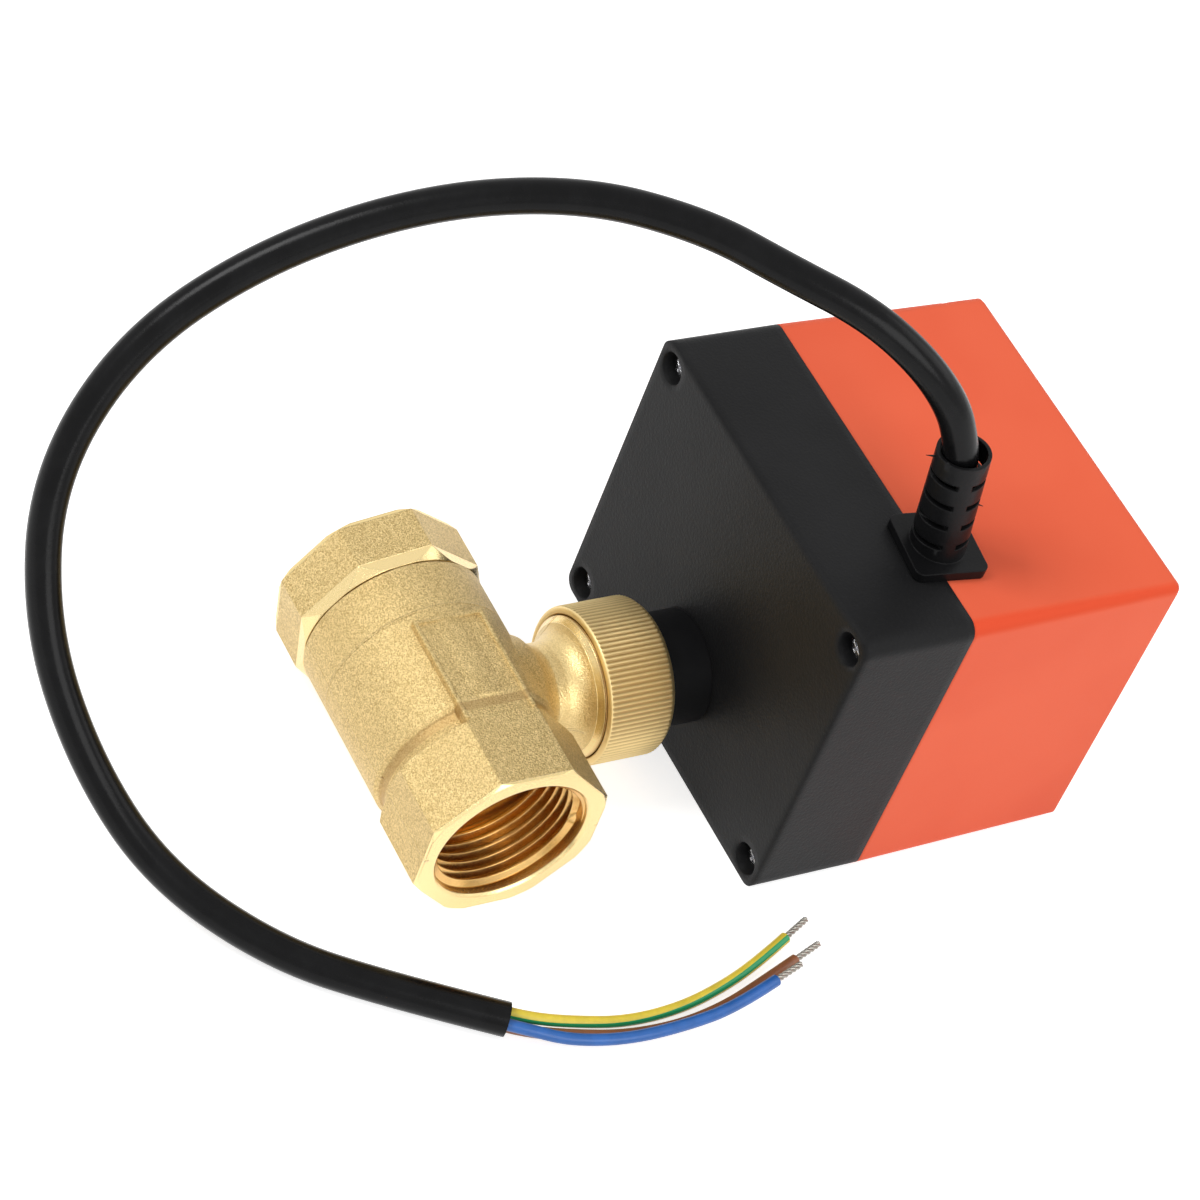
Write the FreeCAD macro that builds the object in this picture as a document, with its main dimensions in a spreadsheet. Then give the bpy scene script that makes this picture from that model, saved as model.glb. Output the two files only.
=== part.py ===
import FreeCAD, Part
import Sketcher
import math
import os
from FreeCAD import Vector

# Motorized ball valve: a brass two-piece ball valve with a screwed neck, held by a knurled
# union nut to a cube-shaped geared actuator with a power cable.
# X runs along the pipe, Y along the stem from the ball to the actuator, Z is up.
# The origin is the centre of the ball. All sizes are in millimetres.

os.makedirs("parts", exist_ok=True)
document = FreeCAD.newDocument("motorized_ball_valve")

sizes = {
    # brass body and end connector
    "octagon_flats": 31.5,
    "octagon_corner_trim": 0.75,
    "near_face": 27.5,
    "near_octagon_length": 14.0,
    "far_face": 29.7,
    "far_octagon_length": 8.7,
    "far_octagon_turn": 10.0,
    "far_bevel_length": 2.3,
    "face_bevel": 0.6,
    "seam_bevel": 0.2,
    "barrel_radius": 16.0,
    "barrel_far_end": 18.5,
    "groove_start": 9.6,
    "groove_width": 2.3,
    "groove_depth": 0.9,
    "pad_far_end": 7.0,
    "pad_width": 12.6,
    "pad_frame_width": 0.7,
    "pad_frame_height": 0.3,
    "port_thread_radius": 13.22,
    "port_thread_depth": 13.0,
    "mouth_radius": 13.65,
    "waterway_radius": 8.0,
    # ball and seats
    "ball_radius": 12.0,
    "ball_bore_radius": 8.0,
    "ball_slot_width": 4.0,
    "ball_slot_length": 11.0,
    "ball_slot_floor": 9.2,
    "seat_radius": 11.8,
    "seat_hole_radius": 8.1,
    "seat_inner_face": 6.9,
    "seat_outer_face": 10.6,
    "seat_pocket_mouth": 8.2,
    "seat_clearance": 0.05,
    "chamber_radius": 12.4,
    "connector_thread_radius": 14.4,
    "connector_clearance": 0.03,
    # neck
    "foot_base_radius": 13.2,
    "foot_base_level": 8.0,
    "foot_radius": 10.2,
    "foot_level": 14.6,
    "waist_radius": 8.3,
    "waist_start": 17.6,
    "waist_end": 19.6,
    "foot_curve": 4.6,
    "cone_radius": 10.9,
    "cone_end": 23.2,
    "neck_thread_radius": 11.92,
    "neck_thread_start": 24.0,
    "neck_top": 33.5,
    "recess_radius": 6.2,
    "recess_floor": 29.3,
    "stem_chamber_radius": 5.8,
    "stem_chamber_top": 15.2,
    # stem
    "stem_radius": 4.2,
    "stem_clearance": 0.1,
    "stem_flange_radius": 5.6,
    "stem_flange_bottom": 12.6,
    "washer_thickness": 0.9,
    "stem_tongue_width": 3.8,
    "stem_tongue_length": 7.8,
    "stem_tongue_bottom": 9.4,
    "drive_tongue_width": 3.0,
    "drive_tongue_top": 33.1,
    "ring_level": 18.5,
    "ring_spacing": 4.5,
    "ring_section": 0.53,
    "ring_groove_depth": 1.0,
    "ring_groove_width": 1.7,
    # union nut and coupling sleeve
    "nut_radius": 13.5,
    "nut_front": 24.2,
    "nut_length": 12.9,
    "nut_rear_round": 1.5,
    "nut_front_bevel": 0.3,
    "nut_lip": 1.4,
    "nut_thread_clearance": 0.08,
    "sleeve_flange_radius": 11.3,
    "sleeve_flange_thickness": 2.0,
    "sleeve_radius": 9.7,
    "sleeve_clearance": 0.15,
    "sleeve_spigot_radius": 8.0,
    "sleeve_spigot_end": 51.6,
    "lock_nut_flats": 20.0,
    "lock_nut_thickness": 2.8,
    # actuator housing
    "housing_width": 70.0,
    "housing_height": 61.0,
    "housing_shift": 1.0,
    "housing_bottom": 16.65,
    "housing_face": 46.0,
    "base_depth": 21.0,
    "cover_depth": 42.0,
    "housing_corner": 2.5,
    "housing_wall": 2.2,
    "housing_floor": 2.5,
    "cover_taper": 1.1,
    "cover_edge_round": 0.8,
    "cover_edge_slope": 40.0,
    "pillar_radius": 3.9,
    "screw_inset": 4.0,
    "screw_hole_radius": 1.65,
    "screw_radius": 1.5,
    "screw_head_radius": 2.4,
    "screw_head_height": 1.6,
    "screw_sink_radius": 2.85,
    "screw_sink_depth": 3.3,
    "screw_length": 28.0,
    "screw_pilot_radius": 1.5,
    # gear plates
    "plate_half_width": 28.8,
    "plate_half_height": 23.3,
    "plate_corner_cut": 2.5,
    "lower_plate_level": 51.9,
    "lower_plate_thickness": 1.0,
    "upper_plate_level": 64.0,
    "upper_plate_thickness": 1.2,
    "post_x": 25.8,
    "post_z": 20.3,
    "post_radius": 2.2,
    "post_foot_radius": 2.7,
    "stud_radius": 1.2,
    "stud_length": 3.0,
    # gear train
    "output_teeth": 32,
    "second_small_teeth": 12,
    "second_large_teeth": 30,
    "first_small_teeth": 12,
    "first_large_teeth": 36,
    "pinion_teeth": 12,
    "output_module": 0.8,
    "second_module": 0.6,
    "first_module": 0.5,
    "second_direction": 90.0,
    "first_direction": 130.0,
    "pinion_direction": -10.0,
    "tooth_play": 0.16,
    "output_gear_level": 53.4,
    "output_gear_thickness": 3.8,
    "second_large_level": 57.8,
    "second_large_thickness": 2.2,
    "first_large_level": 60.6,
    "first_large_thickness": 2.0,
    "gear_end_play": 0.2,
    "axle_radius": 1.25,
    "axle_clearance": 0.05,
    "gear_hub_radius": 2.4,
    # output shaft, cam and clip
    "shaft_radius": 5.0,
    "shaft_clearance": 0.1,
    "shaft_bottom": 29.7,
    "shaft_slot_clearance": 0.1,
    "shaft_collar_radius": 6.5,
    "shaft_end_radius": 4.0,
    "shaft_end_play": 0.2,
    "cam_radius": 6.2,
    "cam_lobe_radius": 7.6,
    "cam_lobe_angle": 50.0,
    "cam_thickness": 3.2,
    "clip_thickness": 0.8,
    "clip_radius": 5.6,
    "clip_groove_radius": 3.4,
    "clip_gap": 2.6,
    "bush_radius": 5.5,
    "bush_flange_radius": 6.6,
    "bush_flange_thickness": 0.9,
    # motor
    "motor_radius": 23.8,
    "motor_thickness": 16.0,
    "motor_edge": 1.2,
    "motor_ear_reach": 26.8,
    "motor_ear_radius": 2.9,
    "motor_ear_thickness": 1.0,
    "motor_shaft_radius": 1.5,
    "motor_shaft_depth": 4.0,
    "pinion_passage_radius": 4.2,
    "small_screw_radius": 1.2,
    "small_head_radius": 2.3,
    "small_head_height": 1.4,
    # limit switches
    "switch_face": 8.9,
    "switch_depth": 10.2,
    "switch_length": 19.8,
    "switch_thickness": 6.4,
    "switch_low_end": 9.0,
    "switch_hole_depth": 6.6,
    "switch_hole_low": 5.1,
    "switch_hole_spacing": 9.5,
    "plunger_radius": 1.0,
    "plunger_reach": 1.0,
    "plunger_length": 3.6,
    "plunger_travel": 0.8,
    "plunger_clearance": 0.05,
    "terminal_width": 3.2,
    "terminal_thickness": 0.5,
    "terminal_length": 3.2,
    # circuit board
    "board_level": 86.0,
    "board_thickness": 1.6,
    "board_half_width": 28.3,
    "board_half_height": 22.8,
    "relay_width": 19.0,
    "relay_height": 15.5,
    "relay_rise": 15.3,
    "capacitor_width": 18.0,
    "capacitor_height": 8.5,
    "capacitor_rise": 14.0,
    "block_width": 15.0,
    "block_height": 8.0,
    "block_rise": 10.0,
    # gland and cable
    "gland_x": 19.1,
    "gland_seam_offset": 1.5,
    "gland_plate_width": 13.2,
    "gland_plate_thickness": 1.8,
    "gland_plate_corner": 1.5,
    "gland_turn": -7.0,
    "gland_neck_radius": 4.9,
    "gland_clearance": 0.1,
    "gland_inner_radius": 6.2,
    "gland_inner_thickness": 1.8,
    "gland_foot_radius": 4.7,
    "gland_mouth_radius": 4.45,
    "gland_bore_radius": 3.85,
    "gland_bore_depth": 7.0,
    "gland_barrel_length": 22.0,
    "gland_lean": 7.7,
    "gland_lean_direction": -35.8,
    "gland_slot_width": 1.0,
    "gland_slot_pitch": 4.3,
    "gland_slot_core": 2.3,
    "cable_diameter": 5.7,
    "cable_straight": 4.0,
    "cable_shift": 0.55,
    "core_diameter": 2.0,
    "core_offset": 1.5,
    "core_straight": 3.6,
    "strand_diameter": 1.1,
    "strand_length": 6.0,
}

sheet = document.addObject("Spreadsheet::Sheet", "sizes")
for row, (name, number) in enumerate(sizes.items(), start=1):
    sheet.set("A%d" % row, name)
    sheet.set("B%d" % row, repr(number))
    sheet.setAlias("B%d" % row, name)
document.recompute()


class Measure:
    """A size that knows both its number and the sheet formula it comes from."""

    def __init__(self, number, formula):
        self.number = number
        self.formula = formula

    def __add__(self, other):
        other = measure(other)
        return Measure(self.number + other.number, "(%s + %s)" % (self.formula, other.formula))

    def __sub__(self, other):
        other = measure(other)
        return Measure(self.number - other.number, "(%s - %s)" % (self.formula, other.formula))

    def __mul__(self, factor):
        factor = measure(factor)
        return Measure(self.number * factor.number, "(%s * %s)" % (self.formula, factor.formula))

    def __truediv__(self, divisor):
        divisor = measure(divisor)
        return Measure(self.number / divisor.number, "(%s / %s)" % (self.formula, divisor.formula))

    def __neg__(self):
        return Measure(-self.number, "(0 - %s)" % self.formula)

    def __float__(self):
        return float(self.number)


def measure(thing):
    if isinstance(thing, Measure):
        return thing
    return Measure(float(thing), repr(float(thing)))


class Sheet:
    """Gives each named size of the sheet as a measure."""

    def __getattr__(self, name):
        return Measure(float(sheet.get(name)), "sizes.%s" % name)


size = Sheet()


def bind(thing, field, amount):
    """Sets a length, angle or coordinate and ties it to its formula."""
    amount = measure(amount)
    if not field.startswith(("Placement", "AttachmentOffset", "Constraints")):
        setattr(thing, field, amount.number)
    thing.setExpression(field, amount.formula)


# sketches and turned or padded bodies


def new_body(label):
    body = document.addObject("PartDesign::Body", label)
    body.Label = label
    return body


def new_sketch(body, role, offset=0.0):
    sketch = body.newObject("Sketcher::SketchObject", body.Label + "_sketch")
    plane = [item for item in body.Origin.OriginFeatures if item.Role == role][0]
    sketch.AttachmentSupport = [(plane, "")]
    sketch.MapMode = "FlatFace"
    bind(sketch, "AttachmentOffset.Base.z", offset)
    return sketch


def draw(sketch, corners):
    """Draws one closed outline. Each corner is (x, y) or (x, y, radius), where the radius rounds
    the run that starts there: positive turns left, negative turns right."""
    count = len(corners)
    first = sketch.GeometryCount
    places = [Vector(float(corner[0]), float(corner[1]), 0) for corner in corners]
    runs = []
    ends = []
    for index, corner in enumerate(corners):
        start = places[index]
        end = places[(index + 1) % count]
        if len(corner) == 2:
            runs.append(Part.LineSegment(start, end))
            ends.append((1, 2))
            continue
        radius = float(corner[2])
        chord = end - start
        rise = abs(radius) - math.sqrt(max(radius**2 - chord.Length**2 / 4, 0))
        right = Vector(chord.y, -chord.x, 0).normalize()
        middle = (start + end) / 2 + right * rise * math.copysign(1, radius)
        runs.append(Part.Arc(start, middle, end).toShape().Curve)
        runs[-1] = Part.Arc(start, middle, end)
        ends.append((1, 2) if radius > 0 else (2, 1))
    sketch.addGeometry(runs, False)
    rules = []
    formulas = []
    for index, corner in enumerate(corners):
        here = first + index
        following = first + (index + 1) % count
        begin = ends[index][0]
        rules.append(
            Sketcher.Constraint(
                "Coincident", here, ends[index][1], following, ends[(index + 1) % count][0]
            )
        )
        for kind, axis, amount in (("DistanceX", -2, corner[0]), ("DistanceY", -1, corner[1])):
            if float(amount) == 0:
                rules.append(Sketcher.Constraint("PointOnObject", here, begin, axis))
            else:
                formulas.append((len(rules), measure(amount)))
                rules.append(Sketcher.Constraint(kind, here, begin, float(amount)))
        if len(corner) == 3:
            radius = corner[2] if float(corner[2]) > 0 else -measure(corner[2])
            formulas.append((len(rules), measure(radius)))
            rules.append(Sketcher.Constraint("Radius", here, float(radius)))
    before = sketch.ConstraintCount
    sketch.addConstraint(rules)
    for index, amount in formulas:
        sketch.setExpression("Constraints[%d]" % (before + index), amount.formula)


def circle(sketch, x, y, radius):
    here = sketch.GeometryCount
    sketch.addGeometry(
        Part.Circle(Vector(float(x), float(y), 0), Vector(0, 0, 1), float(radius)), False
    )
    for kind, axis, amount in (("DistanceX", -2, x), ("DistanceY", -1, y)):
        if float(amount) == 0:
            sketch.addConstraint(Sketcher.Constraint("PointOnObject", here, 3, axis))
        else:
            rule = sketch.addConstraint(Sketcher.Constraint(kind, here, 3, float(amount)))
            sketch.setExpression("Constraints[%d]" % rule, measure(amount).formula)
    rule = sketch.addConstraint(Sketcher.Constraint("Radius", here, float(radius)))
    sketch.setExpression("Constraints[%d]" % rule, measure(radius).formula)


def turn(body, corners, axis="V_Axis", cut=False):
    """Turns a profile about the stem line (V_Axis) or the pipe line (H_Axis)."""
    sketch = new_sketch(body, "XY_Plane")
    draw(sketch, corners)
    kind = "PartDesign::Groove" if cut else "PartDesign::Revolution"
    feature = body.newObject(kind, body.Label + ("_groove" if cut else "_turned"))
    feature.Profile = sketch
    feature.ReferenceAxis = (sketch, [axis])
    feature.Angle = 360
    return feature


def turned_body(label, corners, axis="V_Axis"):
    body = new_body(label)
    turn(body, corners, axis)
    return body


def pad_along_stem(body, start, length, outlines=(), circles=(), cut=False, taper=None):
    """Pads or pockets outlines, given as (x, z), from the level start towards the actuator."""
    sketch = new_sketch(body, "XZ_Plane", -measure(start))
    for corners in outlines:
        draw(sketch, corners)
    for x, z, radius in circles:
        circle(sketch, x, z, radius)
    kind = "PartDesign::Pocket" if cut else "PartDesign::Pad"
    feature = body.newObject(kind, body.Label + ("_pocket" if cut else "_pad"))
    feature.Profile = sketch
    bind(feature, "Length", length)
    feature.Reversed = not cut
    if taper is not None:
        bind(feature, "TaperAngle", taper)
    return feature


def rectangle(left, low, right, high, corner=None):
    """A rectangle seen along the stem, with rounded corners where a corner radius is given."""
    if corner is None:
        return [(left, low), (right, low), (right, high), (left, high)]
    return [
        (left + corner, low),
        (right - corner, low, corner),
        (right, low + corner),
        (right, high - corner, corner),
        (right - corner, high),
        (left + corner, high, corner),
        (left, high - corner),
        (left, low + corner, corner),
    ]


# primitives


def place(thing, x=0.0, y=0.0, z=0.0, rotation=None):
    thing.Placement = FreeCAD.Placement(
        Vector(float(x), float(y), float(z)), rotation or FreeCAD.Rotation()
    )
    for field, amount in (("x", x), ("y", y), ("z", z)):
        if isinstance(amount, Measure):
            thing.setExpression("Placement.Base." + field, amount.formula)
    return thing


ALONG_STEM = FreeCAD.Rotation(Vector(1, 0, 0), -90)
ALONG_PIPE = FreeCAD.Rotation(Vector(0, 1, 0), 90)


def cylinder(radius, length, x=0.0, y=0.0, z=0.0, rotation=ALONG_STEM):
    thing = document.addObject("Part::Cylinder", "cylinder")
    bind(thing, "Radius", radius)
    bind(thing, "Height", length)
    return place(thing, x, y, z, rotation)


def block(width, depth, rise, x, y, z):
    """A box from its smallest corner."""
    thing = document.addObject("Part::Box", "block")
    bind(thing, "Length", width)
    bind(thing, "Width", depth)
    bind(thing, "Height", rise)
    return place(thing, x, y, z)


def fuse(label, *things):
    whole = document.addObject("Part::MultiFuse", label)
    whole.Label = label
    whole.Shapes = list(things)
    whole.Refine = True
    return whole


def cut(label, base, *tools):
    whole = document.addObject("Part::Cut", label)
    whole.Label = label
    whole.Base = base
    whole.Tool = tools[0] if len(tools) == 1 else fuse(label + "_tools", *tools)
    whole.Refine = True
    return whole


def common(label, *things):
    whole = document.addObject("Part::MultiCommon", label)
    whole.Label = label
    whole.Shapes = list(things)
    return whole


def group(label, things):
    """Separate solids of one kind that share a node."""
    whole = document.addObject("Part::Compound", label)
    whole.Label = label
    whole.Links = list(things)
    return whole


def octagon_bar(face, length, turned, direction):
    """The octagonal bar stock of one end, from its face towards the ball."""
    bar = document.addObject("Part::Prism", "octagon_bar")
    bar.Polygon = 8
    half_corner = math.cos(math.radians(180 / bar.Polygon))
    bind(bar, "Circumradius", size.octagon_flats / 2 / half_corner)
    bind(bar, "Height", length)
    start = face - length if direction > 0 else -face
    flat_up = FreeCAD.Rotation(Vector(0, 0, 1), 180 / bar.Polygon + float(turned))
    return place(bar, x=start, rotation=ALONG_PIPE.multiply(flat_up))


# brass body, connector and what seals between them

corner_radius = size.octagon_flats / 2 / math.cos(math.pi / 8)
port_floor = size.near_face - size.port_thread_depth
mouth_bevel = size.mouth_radius - size.port_thread_radius
pocket_radius = size.seat_radius + size.seat_clearance
housing_left = size.housing_shift - size.housing_width / 2
housing_right = size.housing_shift + size.housing_width / 2
housing_low = -size.housing_bottom
housing_top = size.housing_height - size.housing_bottom
housing_middle = size.housing_height / 2 - size.housing_bottom
seam = size.housing_face + size.base_depth
cover_end = seam + size.cover_depth
taper_slope = Measure(
    math.tan(math.radians(size.cover_taper.number)), "tan(sizes.cover_taper * 1 deg)"
)


def make_valve_body():
    octagon_start = size.near_face - size.near_octagon_length
    octagon = common(
        "near_octagon",
        octagon_bar(size.near_face, size.near_octagon_length, 0, 1),
        turned_body(
            "near_octagon_turning",
            [
                (octagon_start, 0),
                (size.near_face, 0),
                (size.near_face, corner_radius - size.octagon_corner_trim),
                (size.near_face - size.face_bevel, corner_radius),
                (octagon_start + size.face_bevel, corner_radius),
                (octagon_start, corner_radius - size.octagon_corner_trim),
            ],
            "H_Axis",
        ),
    )
    groove_radius = size.barrel_radius - size.groove_depth
    groove_end = size.groove_start + size.groove_width
    barrel = turned_body(
        "barrel",
        [
            (-size.barrel_far_end, 0),
            (octagon_start + size.face_bevel, 0),
            (octagon_start + size.face_bevel, size.barrel_radius - size.face_bevel),
            (groove_end, groove_radius),
            (size.groove_start + size.groove_depth, groove_radius),
            (size.groove_start, size.barrel_radius),
            (size.seam_bevel - size.barrel_far_end, size.barrel_radius),
            (-size.barrel_far_end, size.barrel_radius - size.seam_bevel),
        ],
        "H_Axis",
    )
    half_side = size.pad_width / 2
    pad_top = size.octagon_flats / 2
    pad = block(
        octagon_start + size.pad_far_end + size.face_bevel,
        half_side * 2,
        pad_top / 2,
        -size.pad_far_end,
        -half_side,
        pad_top / 2,
    )
    frame = cut(
        "pad_frame",
        block(
            octagon_start + size.pad_far_end,
            half_side * 2,
            size.pad_frame_height * 2,
            -size.pad_far_end,
            -half_side,
            pad_top - size.pad_frame_height,
        ),
        block(
            octagon_start + size.pad_far_end,
            half_side * 2 - size.pad_frame_width * 2,
            size.pad_frame_height * 3,
            size.pad_frame_width - size.pad_far_end,
            size.pad_frame_width - half_side,
            pad_top - size.pad_frame_height,
        ),
    )
    neck = turned_body(
        "neck",
        [
            (0, 0),
            (size.foot_base_radius, 0),
            (size.foot_base_radius, size.foot_base_level),
            (size.foot_radius, size.foot_level, -size.foot_curve),
            (size.waist_radius, size.waist_start),
            (size.waist_radius, size.waist_end, -size.foot_curve),
            (size.cone_radius, size.cone_end),
            (size.neck_thread_radius, size.neck_thread_start),
            (size.neck_thread_radius, size.neck_top - size.face_bevel),
            (size.neck_thread_radius - size.face_bevel, size.neck_top),
            (0, size.neck_top),
        ],
    )
    far_bore_end = -size.barrel_far_end
    passage = turned_body(
        "pipe_passage",
        [
            (far_bore_end, 0),
            (size.near_face, 0),
            (size.near_face, size.mouth_radius),
            (size.near_face - mouth_bevel, size.port_thread_radius),
            (port_floor, size.port_thread_radius),
            (port_floor, size.waterway_radius),
            (size.seat_outer_face, size.waterway_radius),
            (size.seat_outer_face, pocket_radius),
            (size.seat_pocket_mouth, pocket_radius),
            (size.seat_pocket_mouth, size.chamber_radius),
            (-size.seat_pocket_mouth, size.chamber_radius),
            (-size.seat_pocket_mouth, size.connector_thread_radius),
            (far_bore_end, size.connector_thread_radius),
        ],
        "H_Axis",
    )
    stem_bore_radius = size.stem_radius + size.stem_clearance
    stem_bore = turned_body(
        "stem_bore",
        [
            (0, 0),
            (size.stem_chamber_radius, 0),
            (size.stem_chamber_radius, size.stem_chamber_top),
            (stem_bore_radius, size.stem_chamber_top),
            (stem_bore_radius, size.recess_floor),
            (size.recess_radius, size.recess_floor),
            (size.recess_radius, size.neck_top),
            (0, size.neck_top),
        ],
    )
    outside = fuse("body_outside", octagon, barrel, pad, frame, neck)
    return cut("valve_body", outside, passage, stem_bore)


def make_end_connector():
    octagon_end = size.far_face - size.far_octagon_length
    spigot_radius = size.connector_thread_radius - size.connector_clearance
    octagon = common(
        "far_octagon",
        octagon_bar(size.far_face, size.far_octagon_length + size.far_bevel_length,
                    size.far_octagon_turn, -1),
        turned_body(
            "far_octagon_turning",
            [
                (-size.far_face, 0),
                (-size.barrel_far_end, 0),
                (-size.barrel_far_end, size.barrel_radius - size.seam_bevel),
                (-octagon_end, corner_radius),
                (size.face_bevel - size.far_face, corner_radius),
                (-size.far_face, corner_radius - size.octagon_corner_trim),
            ],
            "H_Axis",
        ),
    )
    inner_end = size.seat_pocket_mouth + size.connector_clearance
    spigot = cylinder(
        spigot_radius, size.far_face - inner_end - mouth_bevel,
        x=mouth_bevel - size.far_face, rotation=ALONG_PIPE,
    )
    thread_floor = size.far_face - size.port_thread_depth
    passage = turned_body(
        "connector_passage",
        [
            (-size.far_face, 0),
            (-inner_end, 0),
            (-inner_end, pocket_radius),
            (-size.seat_outer_face, pocket_radius),
            (-size.seat_outer_face, size.waterway_radius),
            (-thread_floor, size.waterway_radius),
            (-thread_floor, size.port_thread_radius),
            (mouth_bevel - size.far_face, size.port_thread_radius),
            (-size.far_face, size.mouth_radius),
        ],
        "H_Axis",
    )
    return cut("end_connector", fuse("connector_outside", octagon, spigot), passage)


def make_seat(label, side):
    """A PTFE ring with a spherical face against the ball."""
    sphere_radius = size.ball_radius + size.seat_clearance
    inner = float(size.seat_inner_face)
    lip_radius = math.sqrt(float(sphere_radius) ** 2 - inner**2)
    ring = cut(
        label + "_blank",
        cylinder(
            size.seat_radius,
            size.seat_outer_face - size.seat_inner_face,
            x=size.seat_inner_face if side > 0 else -size.seat_outer_face,
            rotation=ALONG_PIPE,
        ),
        cylinder(
            size.seat_hole_radius,
            size.seat_outer_face * 2,
            x=-size.seat_outer_face,
            rotation=ALONG_PIPE,
        ),
    )
    assert lip_radius < float(size.seat_radius)
    hollow = document.addObject("Part::Sphere", label + "_hollow")
    bind(hollow, "Radius", sphere_radius)
    return cut(label, ring, hollow)


def make_ball():
    sphere = document.addObject("Part::Sphere", "ball_blank")
    bind(sphere, "Radius", size.ball_radius)
    bore = cylinder(
        size.ball_bore_radius,
        size.ball_radius * 2,
        z=-size.ball_radius,
        rotation=FreeCAD.Rotation(),
    )
    slot = block(
        size.ball_slot_length,
        size.ball_radius,
        size.ball_slot_width,
        -size.ball_slot_length / 2,
        size.ball_slot_floor,
        -size.ball_slot_width / 2,
    )
    return cut("ball", sphere, bore, slot)


def make_stem():
    flange_top = size.stem_chamber_top - size.washer_thickness
    tongue_base = size.recess_floor + size.stem_clearance
    groove_floor = size.stem_radius - size.ring_groove_depth
    half_groove = size.ring_groove_width / 2
    profile = [
        (0, size.stem_flange_bottom),
        (size.stem_flange_radius, size.stem_flange_bottom),
        (size.stem_flange_radius, flange_top),
        (size.stem_radius, flange_top),
    ]
    for index in range(2):
        level = size.ring_level + size.ring_spacing * index
        profile += [
            (size.stem_radius, level - half_groove),
            (groove_floor, level - half_groove),
            (groove_floor, level + half_groove),
            (size.stem_radius, level + half_groove),
        ]
    profile += [(size.stem_radius, tongue_base), (0, tongue_base)]
    shank = turned_body("stem_shank", profile)
    tongue = block(
        size.stem_tongue_length,
        size.stem_flange_bottom - size.stem_tongue_bottom,
        size.stem_tongue_width,
        -size.stem_tongue_length / 2,
        size.stem_tongue_bottom,
        -size.stem_tongue_width / 2,
    )
    drive = common(
        "drive_tongue",
        cylinder(size.stem_radius, size.drive_tongue_top - tongue_base, y=tongue_base),
        block(
            size.stem_radius * 2,
            size.drive_tongue_top - tongue_base,
            size.drive_tongue_width,
            -size.stem_radius,
            tongue_base,
            -size.drive_tongue_width / 2,
        ),
    )
    return fuse("stem", shank, tongue, drive)


def make_stem_rings():
    rings = []
    groove_floor = size.stem_radius - size.ring_groove_depth
    bore = size.stem_radius + size.stem_clearance
    for index in range(2):
        ring = document.addObject("Part::Torus", "ring")
        bind(ring, "Radius1", (groove_floor + bore) / 2)
        bind(ring, "Radius2", size.ring_section)
        rings.append(
            place(ring, y=size.ring_level + size.ring_spacing * index, rotation=ALONG_STEM)
        )
    return group("stem_seal_rings", rings)


def make_washer(label, outer, inner, thickness, level):
    return cut(
        label,
        cylinder(outer, thickness, y=level),
        cylinder(inner, thickness * 3, y=level - thickness),
    )


# nut and sleeve that join the valve to the actuator


def make_union_nut():
    rear = size.nut_front + size.nut_length
    lip_hole = size.sleeve_radius + size.sleeve_clearance
    bore = size.neck_thread_radius + size.nut_thread_clearance
    return turned_body(
        "union_nut",
        [
            (bore, size.nut_front),
            (size.nut_radius - size.nut_front_bevel, size.nut_front),
            (size.nut_radius, size.nut_front + size.nut_front_bevel),
            (size.nut_radius, rear - size.nut_rear_round, size.nut_rear_round),
            (size.nut_radius - size.nut_rear_round, rear),
            (lip_hole, rear),
            (lip_hole, rear - size.nut_lip),
            (bore, rear - size.nut_lip),
        ],
    )


def make_coupling_sleeve():
    bore = size.shaft_radius + size.shaft_clearance
    flange_end = size.neck_top + size.sleeve_flange_thickness
    return turned_body(
        "coupling_sleeve",
        [
            (bore, size.neck_top),
            (size.sleeve_flange_radius, size.neck_top),
            (size.sleeve_flange_radius, flange_end),
            (size.sleeve_radius, flange_end),
            (size.sleeve_radius, size.housing_face),
            (size.sleeve_spigot_radius, size.housing_face),
            (size.sleeve_spigot_radius, size.sleeve_spigot_end - size.face_bevel),
            (size.sleeve_spigot_radius - size.face_bevel, size.sleeve_spigot_end),
            (bore, size.sleeve_spigot_end),
        ],
    )


def make_lock_nut():
    nut = document.addObject("Part::Prism", "lock_nut_blank")
    nut.Polygon = 6
    bind(nut, "Circumradius", size.lock_nut_flats / 2 / math.cos(math.pi / nut.Polygon))
    bind(nut, "Height", size.lock_nut_thickness)
    level = size.housing_face + size.housing_floor
    place(nut, y=level, rotation=ALONG_STEM)
    hole = cylinder(
        size.sleeve_spigot_radius, size.lock_nut_thickness * 3, y=level - size.lock_nut_thickness
    )
    return cut("sleeve_lock_nut", nut, hole)


# housing


def pillar_places():
    """Centres of the four screws, seen along the stem."""
    across = size.housing_width / 2 - size.screw_inset
    up = size.housing_height / 2 - size.screw_inset
    return [
        (size.housing_shift + across * side, housing_middle + up * level)
        for side in (1, -1)
        for level in (1, -1)
    ]


def post_places():
    """Centres of the four posts that carry plates and board."""
    return [
        (size.housing_shift + size.post_x * side, housing_middle + size.post_z * level)
        for side in (1, -1)
        for level in (1, -1)
    ]


def inner_rectangle():
    inner_corner = size.housing_corner - size.housing_wall / 2
    return rectangle(
        housing_left + size.housing_wall,
        housing_low + size.housing_wall,
        housing_right - size.housing_wall,
        housing_top - size.housing_wall,
        inner_corner,
    )


def gland_hole():
    """The round way for the gland, through the upper wall on the seam."""
    return cylinder(
        size.gland_neck_radius + size.gland_clearance,
        size.housing_wall * 3,
        x=size.gland_x,
        y=seam + size.gland_seam_offset,
        z=housing_top - size.housing_wall * 2,
        rotation=FreeCAD.Rotation(),
    )


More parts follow.
